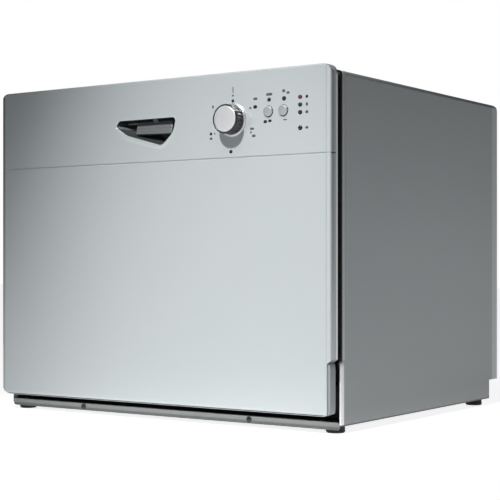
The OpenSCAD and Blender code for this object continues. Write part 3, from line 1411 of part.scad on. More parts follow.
// Partitions that drop into the basket
module basket_cells() {
  t = basket_t;
  g = seat / 3;
  z0 = basket_z + t + g;
  h = basket_h - 2 * t;
  cx = (basket_x1 - basket_x0 - t) / basket_nx;
  cy = (basket_y1 - basket_y0 - t) / basket_ny;
  mid = basket_x0 + cx;
  color([0.5, 0.52, 0.54]) place() {
    box(mid, mid + t, basket_y0 + t + g, basket_y1 - t - g, z0, z0 + h);
    for (j = [1:basket_ny - 1]) {
      box(basket_x0 + t + g, mid - g, basket_y0 + j * cy, basket_y0 + j * cy + t, z0, z0 + h);
      box(mid + t + g, basket_x1 - t - g, basket_y0 + j * cy, basket_y0 + j * cy + t, z0, z0 + h);
    }
  }
}

// Arched handle with feet that clip on the two end walls
module basket_handle() {
  mid = (basket_y0 + basket_y1) / 2;
  z1 = basket_z + basket_h;
  g = seat / 3;
  color([0.5, 0.52, 0.54]) place() along_y(mid - 3, mid + 3) difference() {
    rrect(basket_x0, basket_x1, z1 - 34, z1 + 26, 16);
    rrect(basket_x0 + 3, basket_x1 - 3, z1 - 50, z1 + 23, 13);
    translate([basket_x0 - cut, z1 - 40]) square([basket_x1 - basket_x0 + 2 * cut, 40 + g]);
  }
}

outer_wrap();
rear_panel();
base_tray();
base_walls();
tray_posts();
hose_recess();
plinth();
plinth_screws();
feet();
tub();
tub_frame();
spring_tabs();
tub_gasket();
edge_seal();
sound_mats();
rack_rails();
hinge_brackets();
door_springs();
striker();
sump();
filter_plate();
filter_cup();
heater();
spray_post();
spray_arm();
circulation_pump();
circulation_hose();
drain_pump();
drain_hose();
softener();
salt_cap();
air_break();
inlet_valve();
inlet_hose();
cable_gland();
door_panel();
fascia();
door_liner();
door_insulation();
door_bottom_seal();
hinge_arms();
handle_cup();
handle_lever();
latch_body();
latch_hook();
knob_bezel();
program_knob();
program_switch();
button_left();
button_right();
indicator_lenses();
control_board();
dispenser_body();
dispenser_lid();
dispenser_catch();
rinse_cap();
rack_floor();
rack_end_walls();
rack_side_walls();
plate_tines();
wheel_brackets();
front_wheels();
rear_wheels();
cup_shelf();
cutlery_basket();
basket_cells();
basket_handle();
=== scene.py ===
import math

import bmesh
import bpy
import numpy as np
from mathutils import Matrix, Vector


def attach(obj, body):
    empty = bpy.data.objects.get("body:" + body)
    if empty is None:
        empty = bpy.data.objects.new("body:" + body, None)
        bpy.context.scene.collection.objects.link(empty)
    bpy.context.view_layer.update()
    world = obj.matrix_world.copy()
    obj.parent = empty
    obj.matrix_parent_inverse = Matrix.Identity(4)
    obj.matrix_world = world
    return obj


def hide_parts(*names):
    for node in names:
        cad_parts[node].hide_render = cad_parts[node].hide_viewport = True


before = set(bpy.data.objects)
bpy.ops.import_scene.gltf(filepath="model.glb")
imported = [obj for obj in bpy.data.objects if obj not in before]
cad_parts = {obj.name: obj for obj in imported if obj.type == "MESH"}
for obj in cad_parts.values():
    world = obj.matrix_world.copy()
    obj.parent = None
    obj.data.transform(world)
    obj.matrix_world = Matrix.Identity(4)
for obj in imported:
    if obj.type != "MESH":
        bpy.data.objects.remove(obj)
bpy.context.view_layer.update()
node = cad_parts


# ---------------------------------------------------------------- studio
# A low camera stands off the machine's right front corner and looks level, as in the product picture. Floor
# and backdrop are one white sweep. Large oval soft boxes light the door, the top and the back, and a small
# spot above the front draws the knob's shadow.
scene = bpy.context.scene
scene.view_settings.view_transform = "Standard"


def aim(thing, at):
    """Turns a lamp so that its -Z axis, where it shines, runs from its place to the point `at`."""
    away = Vector(at) - thing.location
    thing.rotation_euler = away.to_track_quat("-Z", "Y").to_euler()


eye = bpy.data.cameras.new("eye")
eye.lens = 97.34
eye.sensor_width = 36
eye.shift_x = 0.0077
eye.shift_y = 0.0279
eye.clip_end = 60
eye_stand = bpy.data.objects.new("eye", eye)
eye_stand.location = (1.10196, -1.61793, 0.20594)
eye_stand.rotation_euler = (math.radians(90), 0, math.radians(34.48))
scene.collection.objects.link(eye_stand)
scene.camera = eye_stand

for name, place, look, size, glow in (
    ("front_box", (-0.18, -1.3, 0.19), (-0.18, 0.0, 0.19), (1.5, 0.9), 0.38),
    ("top_box", (0.25, -0.75, 1.6), (0.1, -0.1, 0.2), (1.1, 0.8), 1.6),
    ("rear_card", (1.75, 1.95, 0.5), (0.2, 0.1, 0.25), (1.6, 1.0), 0.36),
):
    lamp = bpy.data.lights.new(name, "AREA")
    lamp.shape = "ELLIPSE"
    lamp.size, lamp.size_y = size
    lamp.energy = glow * math.pi * size[0] * size[1]
    stand = bpy.data.objects.new(name, lamp)
    stand.location = place
    stand.visible_camera = False
    aim(stand, look)
    scene.collection.objects.link(stand)

key = bpy.data.lights.new("key", "SPOT")
key.energy = 176
key.spot_size = math.radians(32)
key.spot_blend = 1.0
key.shadow_soft_size = 0.05
key_stand = bpy.data.objects.new("key", key)
key_stand.location = (0.24, -1.35, 1.5)
aim(key_stand, (0.13, -0.25, 0.15))
scene.collection.objects.link(key_stand)


def feed(made, sockets):
    """Fills input sockets of a shader node and returns the node. A value is set; another node's output is
    linked."""
    for socket, value in sockets.items():
        if isinstance(value, bpy.types.NodeSocket):
            made.id_data.links.new(value, made.inputs[socket])
        else:
            made.inputs[socket].default_value = value
    return made


def add(tree, kind, **sockets):
    """A new shader node of this kind; its sockets are filled by name, with _ for each space."""
    named = {socket.replace("_", " "): value for socket, value in sockets.items()}
    return feed(tree.nodes.new("ShaderNode" + kind), named)


def maths(tree, operation, one, other=0.0):
    """The output of a Math node over two sockets or numbers."""
    made = tree.nodes.new("ShaderNodeMath")
    made.operation = operation
    return feed(made, {0: one, 1: other}).outputs[0]


sky = bpy.data.worlds.new("studio_air")
sky.use_nodes = True
scene.world = sky
tree = sky.node_tree
tree.nodes.clear()
rays = add(tree, "LightPath").outputs
room = add(tree, "Background", Color=(0.9, 0.95, 1.0, 1), Strength=0.085)
white = add(tree, "Background", Color=(1, 1, 1, 1), Strength=1.0)
seen = maths(tree, "MAXIMUM", rays["Is Camera Ray"], rays["Is Transmission Ray"])
air = feed(add(tree, "MixShader"), {0: seen, 1: room.outputs[0], 2: white.outputs[0]})
add(tree, "OutputWorld", Surface=air.outputs[0])


def grid_faces(rows, cols, close_rows=False, close_cols=False):
    """Quads between neighbours of a rows x cols grid of points; a closed direction joins its last line to its
    first."""
    i = np.arange(rows if close_rows else rows - 1)
    j = np.arange(cols if close_cols else cols - 1)
    i, j = np.meshgrid(i, j, indexing="ij")
    i2, j2 = (i + 1) % rows, (j + 1) % cols
    return np.stack([i * cols + j, i * cols + j2, i2 * cols + j2, i2 * cols + j], -1).reshape(-1, 4)


def lay_mesh(name, points, faces, material, toward=None, weld=1e-6):
    """Makes an object of points and faces and welds points closer than `weld`. A closed skin is turned
    outwards; an open one is turned so that most of it looks `toward` a direction."""
    mesh = bpy.data.meshes.new(name)
    mesh.from_pydata(np.asarray(points, float).reshape(-1, 3).tolist(), [], np.asarray(faces).tolist())
    work = bmesh.new()
    work.from_mesh(mesh)
    bmesh.ops.remove_doubles(work, verts=work.verts, dist=weld)
    bmesh.ops.dissolve_degenerate(work, edges=work.edges, dist=weld)
    bmesh.ops.recalc_face_normals(work, faces=work.faces)
    if toward is not None:
        side = sum((f.normal * f.calc_area() for f in work.faces), Vector()).dot(Vector(toward))
        if side < 0:
            bmesh.ops.reverse_faces(work, faces=work.faces)
    work.to_mesh(mesh)
    work.free()
    mesh.materials.append(material)
    mesh.polygons.foreach_set("use_smooth", [True] * len(mesh.polygons))
    piece = bpy.data.objects.new(name, mesh)
    scene.collection.objects.link(piece)
    return piece


sweep_paint = bpy.data.materials.new("sweep_paint")
sweep_paint.use_nodes = True
tree = sweep_paint.node_tree
tree.nodes.clear()
rays = add(tree, "LightPath").outputs
seen = maths(tree, "MAXIMUM", rays["Is Camera Ray"], rays["Is Glossy Ray"])
seen = maths(tree, "MAXIMUM", seen, rays["Is Transmission Ray"])
sweep_glow = 0.86
glow = add(tree, "Emission", Strength=maths(tree, "MULTIPLY", seen, sweep_glow))
matt = add(tree, "BsdfDiffuse", Color=(0.55, 0.555, 0.555, 1))
both = feed(add(tree, "AddShader"), {0: matt.outputs[0], 1: glow.outputs[0]})
add(tree, "OutputMaterial", Surface=both.outputs[0])

floor_line = np.linspace(-9, 9, 13)
floor_x, floor_y = np.meshgrid(floor_line, floor_line, indexing="ij")
floor_points = np.stack([floor_x, floor_y, np.full_like(floor_x, -0.0002)], -1)
floor = lay_mesh("floor", floor_points, grid_faces(*floor_x.shape), sweep_paint, toward=(0, 0, 1))


# ---------------------------------------------------------------- cabinet wrap
# One folded steel sheet makes both sides and the top; it is powder coated in a dark silver. The coat drifts a
# little in tone and has the fine orange peel of baked powder. Its front edge is rolled into a hem.
def blend(t, amount, under, over):
    """The colour that runs from `under` to `over` as `amount` goes from 0 to 1."""
    mix = t.nodes.new("ShaderNodeMix")
    mix.data_type = "RGBA"
    colour_a, colour_b, colour_out = 6, 7, 2
    return feed(mix, {0: amount, colour_a: under, colour_b: over}).outputs[colour_out]


def finish(name, colour, shade, rough, metal=0.0, grain=900.0, relief=0.08, cloud=5.0, swing=0.06,
           stretch=(1, 1, 1), specular=0.5):
    """A coat or a moulding. Broad noise drifts the colour towards `shade`, fine noise moves the roughness by
    `swing` and lifts the surface by `relief`; `stretch` pulls both into grain along an axis."""
    material = bpy.data.materials.new(name)
    material.use_nodes = True
    t = material.node_tree
    place = add(t, "TexCoord").outputs["Object"]
    turn = add(t, "Mapping", Vector=place, Scale=stretch).outputs["Vector"]
    broad = add(t, "TexNoise", Vector=turn, Scale=cloud, Detail=3).outputs["Fac"]
    fine = add(t, "TexNoise", Vector=turn, Scale=grain, Detail=2).outputs["Fac"]
    spread = add(t, "MapRange", Value=fine, From_Min=0.25, From_Max=0.75, To_Min=rough - swing,
                 To_Max=rough + swing)
    lift = add(t, "Bump", Height=fine, Strength=relief, Distance=0.0004)
    feed(t.nodes["Principled BSDF"], {
        "Base Color": blend(t, broad, (*colour, 1), (*shade, 1)),
        "Metallic": metal,
        "Roughness": spread.outputs["Result"],
        "Specular IOR Level": specular,
        "Normal": lift.outputs["Normal"],
    })
    return material


def coat(material, *names):
    """Gives the named CAD nodes this material."""
    for n in names:
        mesh = node[n].data
        mesh.materials.clear()
        mesh.materials.append(material)


def band(t, axis, knots):
    """Shader nodes that read one Object coordinate, in metres, and turn it into a value through straight
    lines between the `knots` (place, value)."""
    place = add(t, "TexCoord").outputs["Object"]
    along = add(t, "SeparateXYZ", Vector=place).outputs[axis]
    low, high = knots[0][0], knots[-1][0]
    span = add(t, "MapRange", Value=along, From_Min=low, From_Max=high)
    ramp = add(t, "ValToRGB", Fac=span.outputs["Result"])
    stops = ramp.color_ramp.elements
    while len(stops) < len(knots):
        stops.new(0.5)
    for stop, (at, value) in zip(stops, knots):
        stop.position = (at - low) / (high - low)
        stop.color = (value, value, value, 1)
    return ramp.outputs["Color"]


def tint(material, colour, **where):
    """Mixes `colour` into a finish. `where` gives the knots of a band() for x, y or z, and the product of
    these bands is the colour's share."""
    t = material.node_tree
    base = t.nodes["Principled BSDF"].inputs["Base Color"]
    share, *others = [band(t, axis.upper(), knots) for axis, knots in where.items()]
    for other in others:
        share = maths(t, "MULTIPLY", share, other)
    t.links.new(blend(t, share, base.links[0].from_socket, (*colour, 1)), base)


def emboss(material, height, deep):
    """Adds a pressed shape to a finish: `height` from 0 to 1, `deep` metres high."""
    t = material.node_tree
    normal = t.nodes["Principled BSDF"].inputs["Normal"]
    under = normal.links[0].from_socket
    press = add(t, "Bump", Height=height, Strength=1.0, Distance=deep, Normal=under)
    t.links.new(press.outputs["Normal"], normal)


cabinet_coat = finish("cabinet_coat", (0.44, 0.46, 0.47), (0.4, 0.42, 0.43), 0.42, metal=0.6, grain=1400,
                      relief=0.12, cloud=3, swing=0.05)

# Painted shade: the sides are darkened towards the counter.
tint(cabinet_coat, (0.22, 0.23, 0.235),
     z=[(0.0, 0.75), (0.03, 0.72), (0.061, 0.47), (0.105, 0.28), (0.178, 0.1), (0.25, 0)])

# Painted highlight on the front hem: a faint line above the hinge cheeks, and a bright strip beside them and
# below.
hem_painted_highlight = (0.95, 0.97, 0.98)
tint(cabinet_coat, hem_painted_highlight, z=[(0.088, 0), (0.0885, 0.3), (0.45, 0.1)],
     y=[(-0.2085, 0), (-0.2047, 0), (-0.2037, 1), (-0.1992, 1), (-0.198, 0), (-0.19, 0)])
tint(cabinet_coat, hem_painted_highlight, z=[(0.0, 1), (0.08, 1), (0.088, 0), (0.1, 0)],
     y=[(-0.209, 0.9), (-0.2015, 0.9), (-0.1995, 0), (-0.19, 0)])

# Painted shade: above the cheeks the hem's foremost edge is painted black, for the shade in the gap to the
# door.
tint(cabinet_coat, (0.004, 0.004, 0.004), z=[(0.085, 0), (0.0885, 1), (0.45, 1)],
     y=[(-0.209, 1), (-0.2052, 1), (-0.2046, 0), (-0.2, 0)])

# Painted highlight: the rear hem is paler and ends in a bright fold. The cut edges at the rear and along the
# bottom are painted darker.
tint(cabinet_coat, (0.98, 1.0, 1.0),
     y=[(0.229, 0), (0.231, 0.26), (0.2448, 0.26), (0.2454, 1), (0.2464, 1), (0.247, 0), (0.248, 0)])
tint(cabinet_coat, (0.12, 0.125, 0.13), y=[(0.2466, 0), (0.2472, 1), (0.248, 1)])
tint(cabinet_coat, (0.1, 0.105, 0.108), z=[(0.0, 1), (0.0102, 1), (0.0112, 0), (0.02, 0)])

hem_roll = [(-0.209, 0), (-0.2045, 0.1), (-0.1985, 1), (-0.1965, 0.75), (-0.19, 0.7)]
emboss(cabinet_coat, band(cabinet_coat.node_tree, "Y", hem_roll), 0.0011)
coat(cabinet_coat, "outer_wrap")


# ---------------------------------------------------------------- rear panel
# A pressed galvanised tray closes the back and keeps its zinc. The small steel parts of the hinges, the latch
# and the door springs are galvanised too.
zinc = finish("zinc", (0.52, 0.53, 0.54), (0.42, 0.43, 0.44), 0.38, metal=0.9, grain=160, relief=0.05,
              cloud=40, swing=0.1)
coat(zinc, "rear_panel", "hinge_brackets", "hinge_arms", "striker", "latch_hook", "spring_tabs")


# ---------------------------------------------------------------- base, feet and kick strip
# The base is black polypropylene on rubber feet. The strip under the door is moulded in grey, with painted
# shade along its foot, and held by two black screws; black foam seals the door against the cabinet, its near
# black partly painted shade of the gap.
black_base = finish("black_base", (0.022, 0.022, 0.024), (0.032, 0.032, 0.034), 0.55, grain=1200, relief=0.2)
coat(black_base, "base_tray", "base_walls", "tray_posts", "hose_recess", "cable_gland")
rubber = finish("rubber", (0.016, 0.016, 0.016), (0.028, 0.027, 0.027), 0.68, grain=700, relief=0.25)
coat(rubber, "feet", "tub_gasket", "door_bottom_seal")
# The seal's foam is near black, partly its own colour and partly painted shade of the gap between door and
# cabinet.
seal_black_and_gap_shade = finish("seal_black_and_gap_shade", (0.004, 0.004, 0.004), (0.007, 0.007, 0.007), 0.9, grain=500, relief=0.4,
                    specular=0.1)
coat(seal_black_and_gap_shade, "edge_seal")
grey_strip = finish("grey_strip", (0.53, 0.55, 0.54), (0.48, 0.5, 0.49), 0.42, metal=0.1, relief=0.1)
# Painted shade along the foot of the kick strip.
tint(grey_strip, (0.2, 0.21, 0.205), z=[(0.0, 0.85), (0.0076, 0.8), (0.0094, 0), (0.02, 0)])
coat(grey_strip, "plinth")
black_steel = finish("black_steel", (0.05, 0.05, 0.055), (0.09, 0.09, 0.09), 0.35, metal=0.8, grain=600)
coat(black_steel, "plinth_screws")


# ---------------------------------------------------------------- tub and what hangs on it
# The tub and the inner door are drawn from stainless sheet with a fine brushed grain along their length.
# Bitumen mats on the tub deaden its noise; the rack's rails and the door springs are bright steel.
stainless = finish("stainless", (0.66, 0.66, 0.665), (0.6, 0.603, 0.608), 0.33, metal=1.0, grain=420,
                   relief=0.015, cloud=9, swing=0.035, stretch=(1, 0.12, 6))
coat(stainless, "tub", "tub_frame", "door_liner", "filter_plate")
bitumen = finish("bitumen", (0.03, 0.028, 0.026), (0.05, 0.046, 0.042), 0.8, grain=300, relief=0.6, cloud=20)
coat(bitumen, "sound_mats")
rail_steel = finish("rail_steel", (0.55, 0.56, 0.57), (0.45, 0.46, 0.47), 0.33, metal=1.0, grain=300,
                    stretch=(6, 0.1, 6))
coat(rail_steel, "rack_rails", "door_springs")


# ---------------------------------------------------------------- water parts
# The housings of pumps, sump and switch are dark mouldings, and spray arm, filter and basket grey ones. The
# softener is ivory, its cap and the inlet hose are milky, and the heater is a bare steel tube.
dark_moulding = finish("dark_moulding", (0.045, 0.047, 0.052), (0.065, 0.067, 0.072), 0.42, grain=800,
                       relief=0.15)
coat(dark_moulding, "sump", "spray_post", "circulation_pump", "drain_pump", "circulation_hose", "latch_body",
     "program_switch")
arm_grey = finish("arm_grey", (0.2, 0.215, 0.235), (0.24, 0.255, 0.27), 0.38, grain=700, relief=0.12)
coat(arm_grey, "spray_arm", "filter_cup", "drain_hose", "cutlery_basket", "basket_cells", "basket_handle")
ivory = finish("ivory", (0.62, 0.6, 0.53), (0.68, 0.66, 0.6), 0.45, grain=500, relief=0.12)
coat(ivory, "softener", "inlet_valve", "door_insulation")
milk = finish("milk", (0.66, 0.69, 0.7), (0.72, 0.74, 0.75), 0.3, grain=500, relief=0.06)
coat(milk, "air_break", "inlet_hose", "salt_cap")
element = finish("element", (0.22, 0.2, 0.18), (0.34, 0.3, 0.26), 0.36, metal=1.0, grain=220, cloud=30)
coat(element, "heater")


# ---------------------------------------------------------------- door
# The door's outer sheet and the fascia above its seam are sprayed in one silver with a fine metal flake.
# Their flanks are pressed in shallow steps, and painted shade darkens the face where it rolls off at the
# left, most towards the top. The control board and the dispenser are screwed in behind them.
silver = finish("silver", (0.57, 0.61, 0.62), (0.53, 0.57, 0.58), 0.3, metal=0.44, grain=2600, relief=0.05,
                cloud=4, swing=0.03)
t = silver.node_tree
flank_steps = band(t, "Y", [(-0.23, 0.35), (-0.227, 0.5), (-0.2215, 0.05), (-0.217, 0.35), (-0.2155, 1),
                            (-0.2135, 1)])
place = add(t, "TexCoord").outputs["Object"]
off_middle = maths(t, "ABSOLUTE", add(t, "SeparateXYZ", Vector=place).outputs["X"])
flank = add(t, "MapRange", Value=off_middle, From_Min=0.2648, From_Max=0.2653).outputs["Result"]
emboss(silver, maths(t, "MULTIPLY", flank_steps, flank), 0.0016)
# Painted shade on the face's left roll-off, darkest at the top.
tint(silver, (0.09, 0.1, 0.105), x=[(-0.2735, 1), (-0.2685, 1), (-0.2665, 0.35), (-0.264, 0), (-0.26, 0)],
     y=[(-0.232, 1), (-0.2275, 1), (-0.225, 0), (-0.22, 0)],
     z=[(0.02, 0.35), (0.12, 0.6), (0.3, 0.9), (0.46, 1)])
coat(silver, "door_panel", "fascia")
board_green = finish("board_green", (0.02, 0.12, 0.05), (0.03, 0.17, 0.08), 0.4, grain=500)
coat(board_green, "control_board")
dispenser_grey = finish("dispenser_grey", (0.33, 0.35, 0.37), (0.38, 0.4, 0.42), 0.4, grain=800, relief=0.1)
coat(dispenser_grey, "dispenser_body", "dispenser_lid")
catch_blue = finish("catch_blue", (0.03, 0.14, 0.36), (0.04, 0.18, 0.42), 0.35, grain=800)
coat(catch_blue, "dispenser_catch", "rinse_cap")


# ---------------------------------------------------------------- hinge cheeks
# Beside each hinge the door is narrower. A silver cheek, moulded with a soft edge and set back from the face,
# closes the step and hides the hinge arm. Its silver is painted darker than the door's, as painted shade of
# the step.
# Painted shade: the cheeks' silver is darker than the door's.
cheek_silver_painted_shade = finish("cheek_silver_painted_shade", (0.36, 0.387, 0.395), (0.31, 0.333, 0.34), 0.4, metal=0.3, grain=1200,
                    relief=0.1)
door_face = -230.0


def from_face(x, behind, z):
    """Points in metres from millimetre arrays: x and z as in the whole machine, and y counted inwards from
    the door's face."""
    return np.stack(np.broadcast_arrays(x, door_face + behind, z), -1) / 1000


def cheek(name, x_in, x_out, z0, z1, y0, y1):
    """A slab with domed edges: over the square (u, v) its side bulges from x_in to x_out by the fourth root
    of (1 - u^8)(1 - v^8), with u along the depth and v along the height; the inner side is flat."""
    rows, cols = 21, 61
    u, v = np.meshgrid(np.linspace(-1, 1, rows), np.linspace(-1, 1, cols), indexing="ij")
    lift = ((1 - u ** 8) * (1 - v ** 8)) ** 0.25
    y, z = (y0 + y1) / 2 + (y1 - y0) / 2 * u, (z0 + z1) / 2 + (z1 - z0) / 2 * v
    sides = np.stack([from_face(x_in + (x_out - x_in) * lift, y, z), from_face(x_in, y, z)])
    faces = grid_faces(rows, cols)
    return lay_mesh(name, sides, np.concatenate([faces, faces + rows * cols]), cheek_silver_painted_shade, weld=2e-6)


for name, x_in, x_out, z0 in (("cheek_right", 265.9, 269.6, 24.5), ("cheek_left", -269.9, -270.3, 38.5)):
    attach(cheek(name, x_in, x_out, z0, z1=87.0, y0=1.4, y1=15.6), "door")


# ---------------------------------------------------------------- handle recess
# The fascia is scooped around the finger recess: a soft lip, widest below and to the left, rolls into it.
# Inside sits a dished grey moulding, steep under the fascia's top edge and sloping at the left and below; its
# grey is painted near black as painted shade of the recess.
recess_top = 395.5
recess_corners = np.array([(-57, 0.8, 5), (39, 0.8, 5), (35, -19, 26), (15, -36, 10), (-44, -20, 40),
                           (-63, -7.5, 4)])
around = 180


def rounded_loop(corners, count):
    """A closed outline of `count` points. Each corner (x, z, r) becomes an arc of radius r that touches both
    of its sides, and the outline is then cut at equal steps of its length."""
    at, r = corners[:, :2], corners[:, 2:3]
    back, on = np.roll(at, 1, 0) - at, np.roll(at, -1, 0) - at
    back, on = (side / np.linalg.norm(side, axis=1, keepdims=True) for side in (back, on))
    half = np.arccos(np.clip((back * on).sum(1, keepdims=True), -1, 1)) / 2
    middle = back + on
    middle = at + middle / np.linalg.norm(middle, axis=1, keepdims=True) * r / np.sin(half)
    first, last = at + back * r / np.tan(half) - middle, at + on * r / np.tan(half) - middle
    turn0 = np.arctan2(first[:, 1], first[:, 0])
    sweep = np.arctan2(last[:, 1], last[:, 0]) - turn0
    sweep = (sweep + np.pi) % (2 * np.pi) - np.pi
    turn = turn0[:, None] + sweep[:, None] * np.linspace(0, 1, 17)
    path = (middle[:, None] + r[:, None] * np.stack([np.cos(turn), np.sin(turn)], -1)).reshape(-1, 2)
    path = np.vstack([path, path[:1]])
    run = np.concatenate([[0], np.cumsum(np.linalg.norm(np.diff(path, axis=0), axis=1))])
    cuts = np.linspace(0, run[-1], count, endpoint=False)
    return np.stack([np.interp(cuts, run, path[:, 0]), np.interp(cuts, run, path[:, 1])], -1)


def outward(loop):
    """Unit normals of a closed loop of points, pointing away from its middle."""
    along = np.roll(loop, -1, 0) - np.roll(loop, 1, 0)
    n = np.stack([-along[:, 1], along[:, 0]], -1) / np.linalg.norm(along, axis=1, keepdims=True)
    return n * np.sign(((loop - loop.mean(0)) * n).sum())


mouth = rounded_loop(recess_corners, around)
away = outward(mouth)

# The lip reaches 1.2 mm out at the top and up to 5.4 mm below and to the left, eased over 12 points of the
# outline on either side. Its section climbs from inside the recess to the crest, then swells and falls until
# its edge is sunk; where the lip is narrow, it is lower too.
narrow, wider, leftward, ease = 1.2, 4.2, 0.35, 12
reach = narrow + wider * np.clip(-away[:, 1] - leftward * away[:, 0], 0, 1)
window = np.ones(2 * ease + 1) / (2 * ease + 1)
reach = np.convolve(np.concatenate([reach[-ease:], reach, reach[:ease]]), window, "valid")
crest_at, crest, swell, sink = 0.35, 0.14, 0.12, 0.17
climb = np.array([(-0.5, -1.6), (-0.5, -0.6), (-0.35, -0.12), (0.0, 0.09), (crest_at, crest)])
fall = np.linspace(0.1, 1, 12)[:, None]
fall_height = crest + swell * np.sin(np.pi * fall ** 0.8) - sink * fall ** 3
low_where_narrow = np.clip(reach / 5, 0.5, 1)
lip_off = np.vstack([np.repeat(climb[:, :1], around, 1), crest_at + fall * (reach - crest_at)])
lip_out = np.vstack([np.repeat(climb[:, 1:], around, 1), fall_height * low_where_narrow])
lip = mouth + lip_off[..., None] * away
points = from_face(lip[..., 0], -lip_out, recess_top + lip[..., 1])
handle_lip = lay_mesh("handle_lip", points, grid_faces(len(lip), around, close_cols=True), silver,
                      toward=(0, -1, 0))
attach(handle_lip, "door")

# The dish starts half a millimetre inside the outline and shrinks to its heart in 34 rings. Its depth grows
# from 1.4 to 22 mm by one minus a power of the ring's size; the power is large where the wall is steep. The
# lever's finger passes through a slot behind the upper edge.
# Painted shade: the dish's grey is near black for the shade inside the recess.
bowl_grey_painted_shade = finish("bowl_grey_painted_shade", (0.042, 0.046, 0.047), (0.035, 0.038, 0.039), 0.42, metal=0.2, grain=1100,
                   relief=0.1)
rim = mouth - 0.5 * away
heart = np.array([-9.0, -14.0])
ring_size = 1 - np.linspace(0, 1, 34)[:, None] ** 2.2
top, right, left = (np.clip(part, 0, 1) for part in (away[:, 1], away[:, 0], -away[:, 0]))
steep = 2.6 + 22 * top ** 2 + 6 * right - 0.9 * left
depth = 1.4 + 20.6 * (1 - ring_size ** steep)
dish = heart + (rim - heart) * ring_size[..., None]
points = from_face(dish[..., 0], depth, recess_top + dish[..., 1])
faces = grid_faces(len(dish), around, close_cols=True)
x, y, z = points.reshape(-1, 3)[faces].mean(1).T * 1000
slot_half, slot_front, slot_low = 6.2, door_face + 4, recess_top - 4.5
slot = (np.abs(x) < slot_half) & (y > slot_front) & (z > slot_low)
handle_bowl = lay_mesh("handle_bowl", points, faces[~slot], bowl_grey_painted_shade, toward=(0, -1, 0))
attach(handle_bowl, "door")
coat(bowl_grey_painted_shade, "handle_cup")


# ---------------------------------------------------------------- handle lever
# A moulded bar with shallow ribs, hung on two pins at the top of the recess. Its lower edge is pulled
# forward, and a finger behind it reaches up through the recess wall to the hook's tail.
# The lever's grey is partly its own and partly painted shade of the recess it hangs in.
lever_grey_and_shade = finish("lever_grey_and_shade", (0.15, 0.163, 0.166), (0.125, 0.136, 0.138), 0.36, metal=0.25, grain=900,
                    relief=0.1)


def drawn_bar(name, loop, material, x0, x1, soft, drop=0.0):
    """A (y, z) loop carried along x from x0 to x1. Over the last `soft` at each end it shrinks to its middle
    by the quarter circle, so that both ends are domed and closed. Its lower edge sinks by `drop` on the
    way."""
    turn = np.linspace(0, np.pi / 2, 7)
    inset = np.sin(turn)
    size = np.concatenate([inset, inset[::-1]])
    x = np.concatenate([x0 + soft * (1 - np.cos(turn)), x1 - soft * (1 - np.cos(turn[::-1]))])
    middle = loop.mean(0)
    depth = 1 - (1 - size[:, None]) * soft / np.abs(loop - middle).max()
    depth[[0, -1]] = 0
    ring = middle + (loop - middle) * depth[..., None]
    low = (loop[:, 1].max() - ring[..., 1]) / np.ptp(loop[:, 1])
    ring[..., 1] -= drop * low * ((x - x0) / (x1 - x0))[:, None]
    points = from_face(x[:, None], ring[..., 0], ring[..., 1])
    return lay_mesh(name, points, grid_faces(len(x), len(loop), close_cols=True), material)


bar = rounded_loop(np.array([(12.9, 395.2, 0.9), (8.9, 392.6, 1.4), (5.2, 377.4, 1.1), (10.8, 376.2, 0.8),
                             (15.2, 391.0, 2.0), (14.8, 395.2, 0.8)]), count=150)
bar_away = outward(bar)
rib_deep, rib_pitch, rib_low = 0.3, 3.9, 377.6
facing = np.clip(-bar_away[:, :1] - 0.6, 0, 1)
bar = bar - bar_away * rib_deep * facing * (1 - np.cos((bar[:, 1:] - rib_low) * 2 * np.pi / rib_pitch))
lever = drawn_bar("lever", bar, lever_grey_and_shade, x0=-32.0, x1=27.0, soft=1.6, drop=1.6)
pins = rounded_loop(np.array([(11.2, 390.7, 1.7), (14.8, 390.7, 1.7), (14.8, 394.3, 1.7),
                              (11.2, 394.3, 1.7)]), count=32)
lever_pins = drawn_bar("lever_pins", pins, lever_grey_and_shade, x0=-49.9, x1=35.9, soft=0.3)
finger = rounded_loop(np.array([(9.2, 390.6, 0.5), (13.8, 391.4, 0.6), (7.7, 399.4, 2.0), (7.7, 409.4, 1.8),
                                (4.0, 409.4, 1.8), (4.0, 397.6, 2.0)]), count=60)
lever_finger = drawn_bar("lever_finger", finger, dark_moulding, x0=-4.0, x1=4.0, soft=0.5)
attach(lever_finger, "lever")
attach(lever, "lever")
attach(lever_pins, "lever")
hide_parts("handle_lever")


# ---------------------------------------------------------------- seam tongue
# The fascia's lower edge carries a narrow silver tongue. It stands just behind the face and closes the joint
# to the door panel, so that the seam shows as a soft line and no light falls through it.
tongue = rounded_loop(np.array([(0.5, 339.95, 0.12), (1.5, 339.95, 0.1), (1.5, 339.05, 0.1),
                                (0.5, 339.05, 0.12)]), count=24)
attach(drawn_bar("seam_tongue", tongue, silver, x0=-270.4, x1=270.4, soft=0.1), "door")


# ---------------------------------------------------------------- program knob
# A black fluted barrel turns in a bright ring; a satin aluminium disc is let into its front, and a pale line
# runs from its rim down the barrel, 58 degrees right of the top.
knob_x, knob_z = 128.0, 386.5
knob_black = finish("knob_black", (0.01, 0.011, 0.012), (0.014, 0.015, 0.016), 0.3, grain=1500, relief=0.04)
bright_ring = finish("bright_ring", (0.62, 0.64, 0.645), (0.56, 0.58, 0.585), 0.3, metal=0.75, grain=900)
knob_disc = finish("knob_disc", (0.64, 0.65, 0.655), (0.54, 0.55, 0.555), 0.36, metal=0.5, grain=240,
                   relief=0.04, cloud=60, swing=0.06, stretch=(6, 1, 0.25))
coat(bright_ring, "knob_bezel")


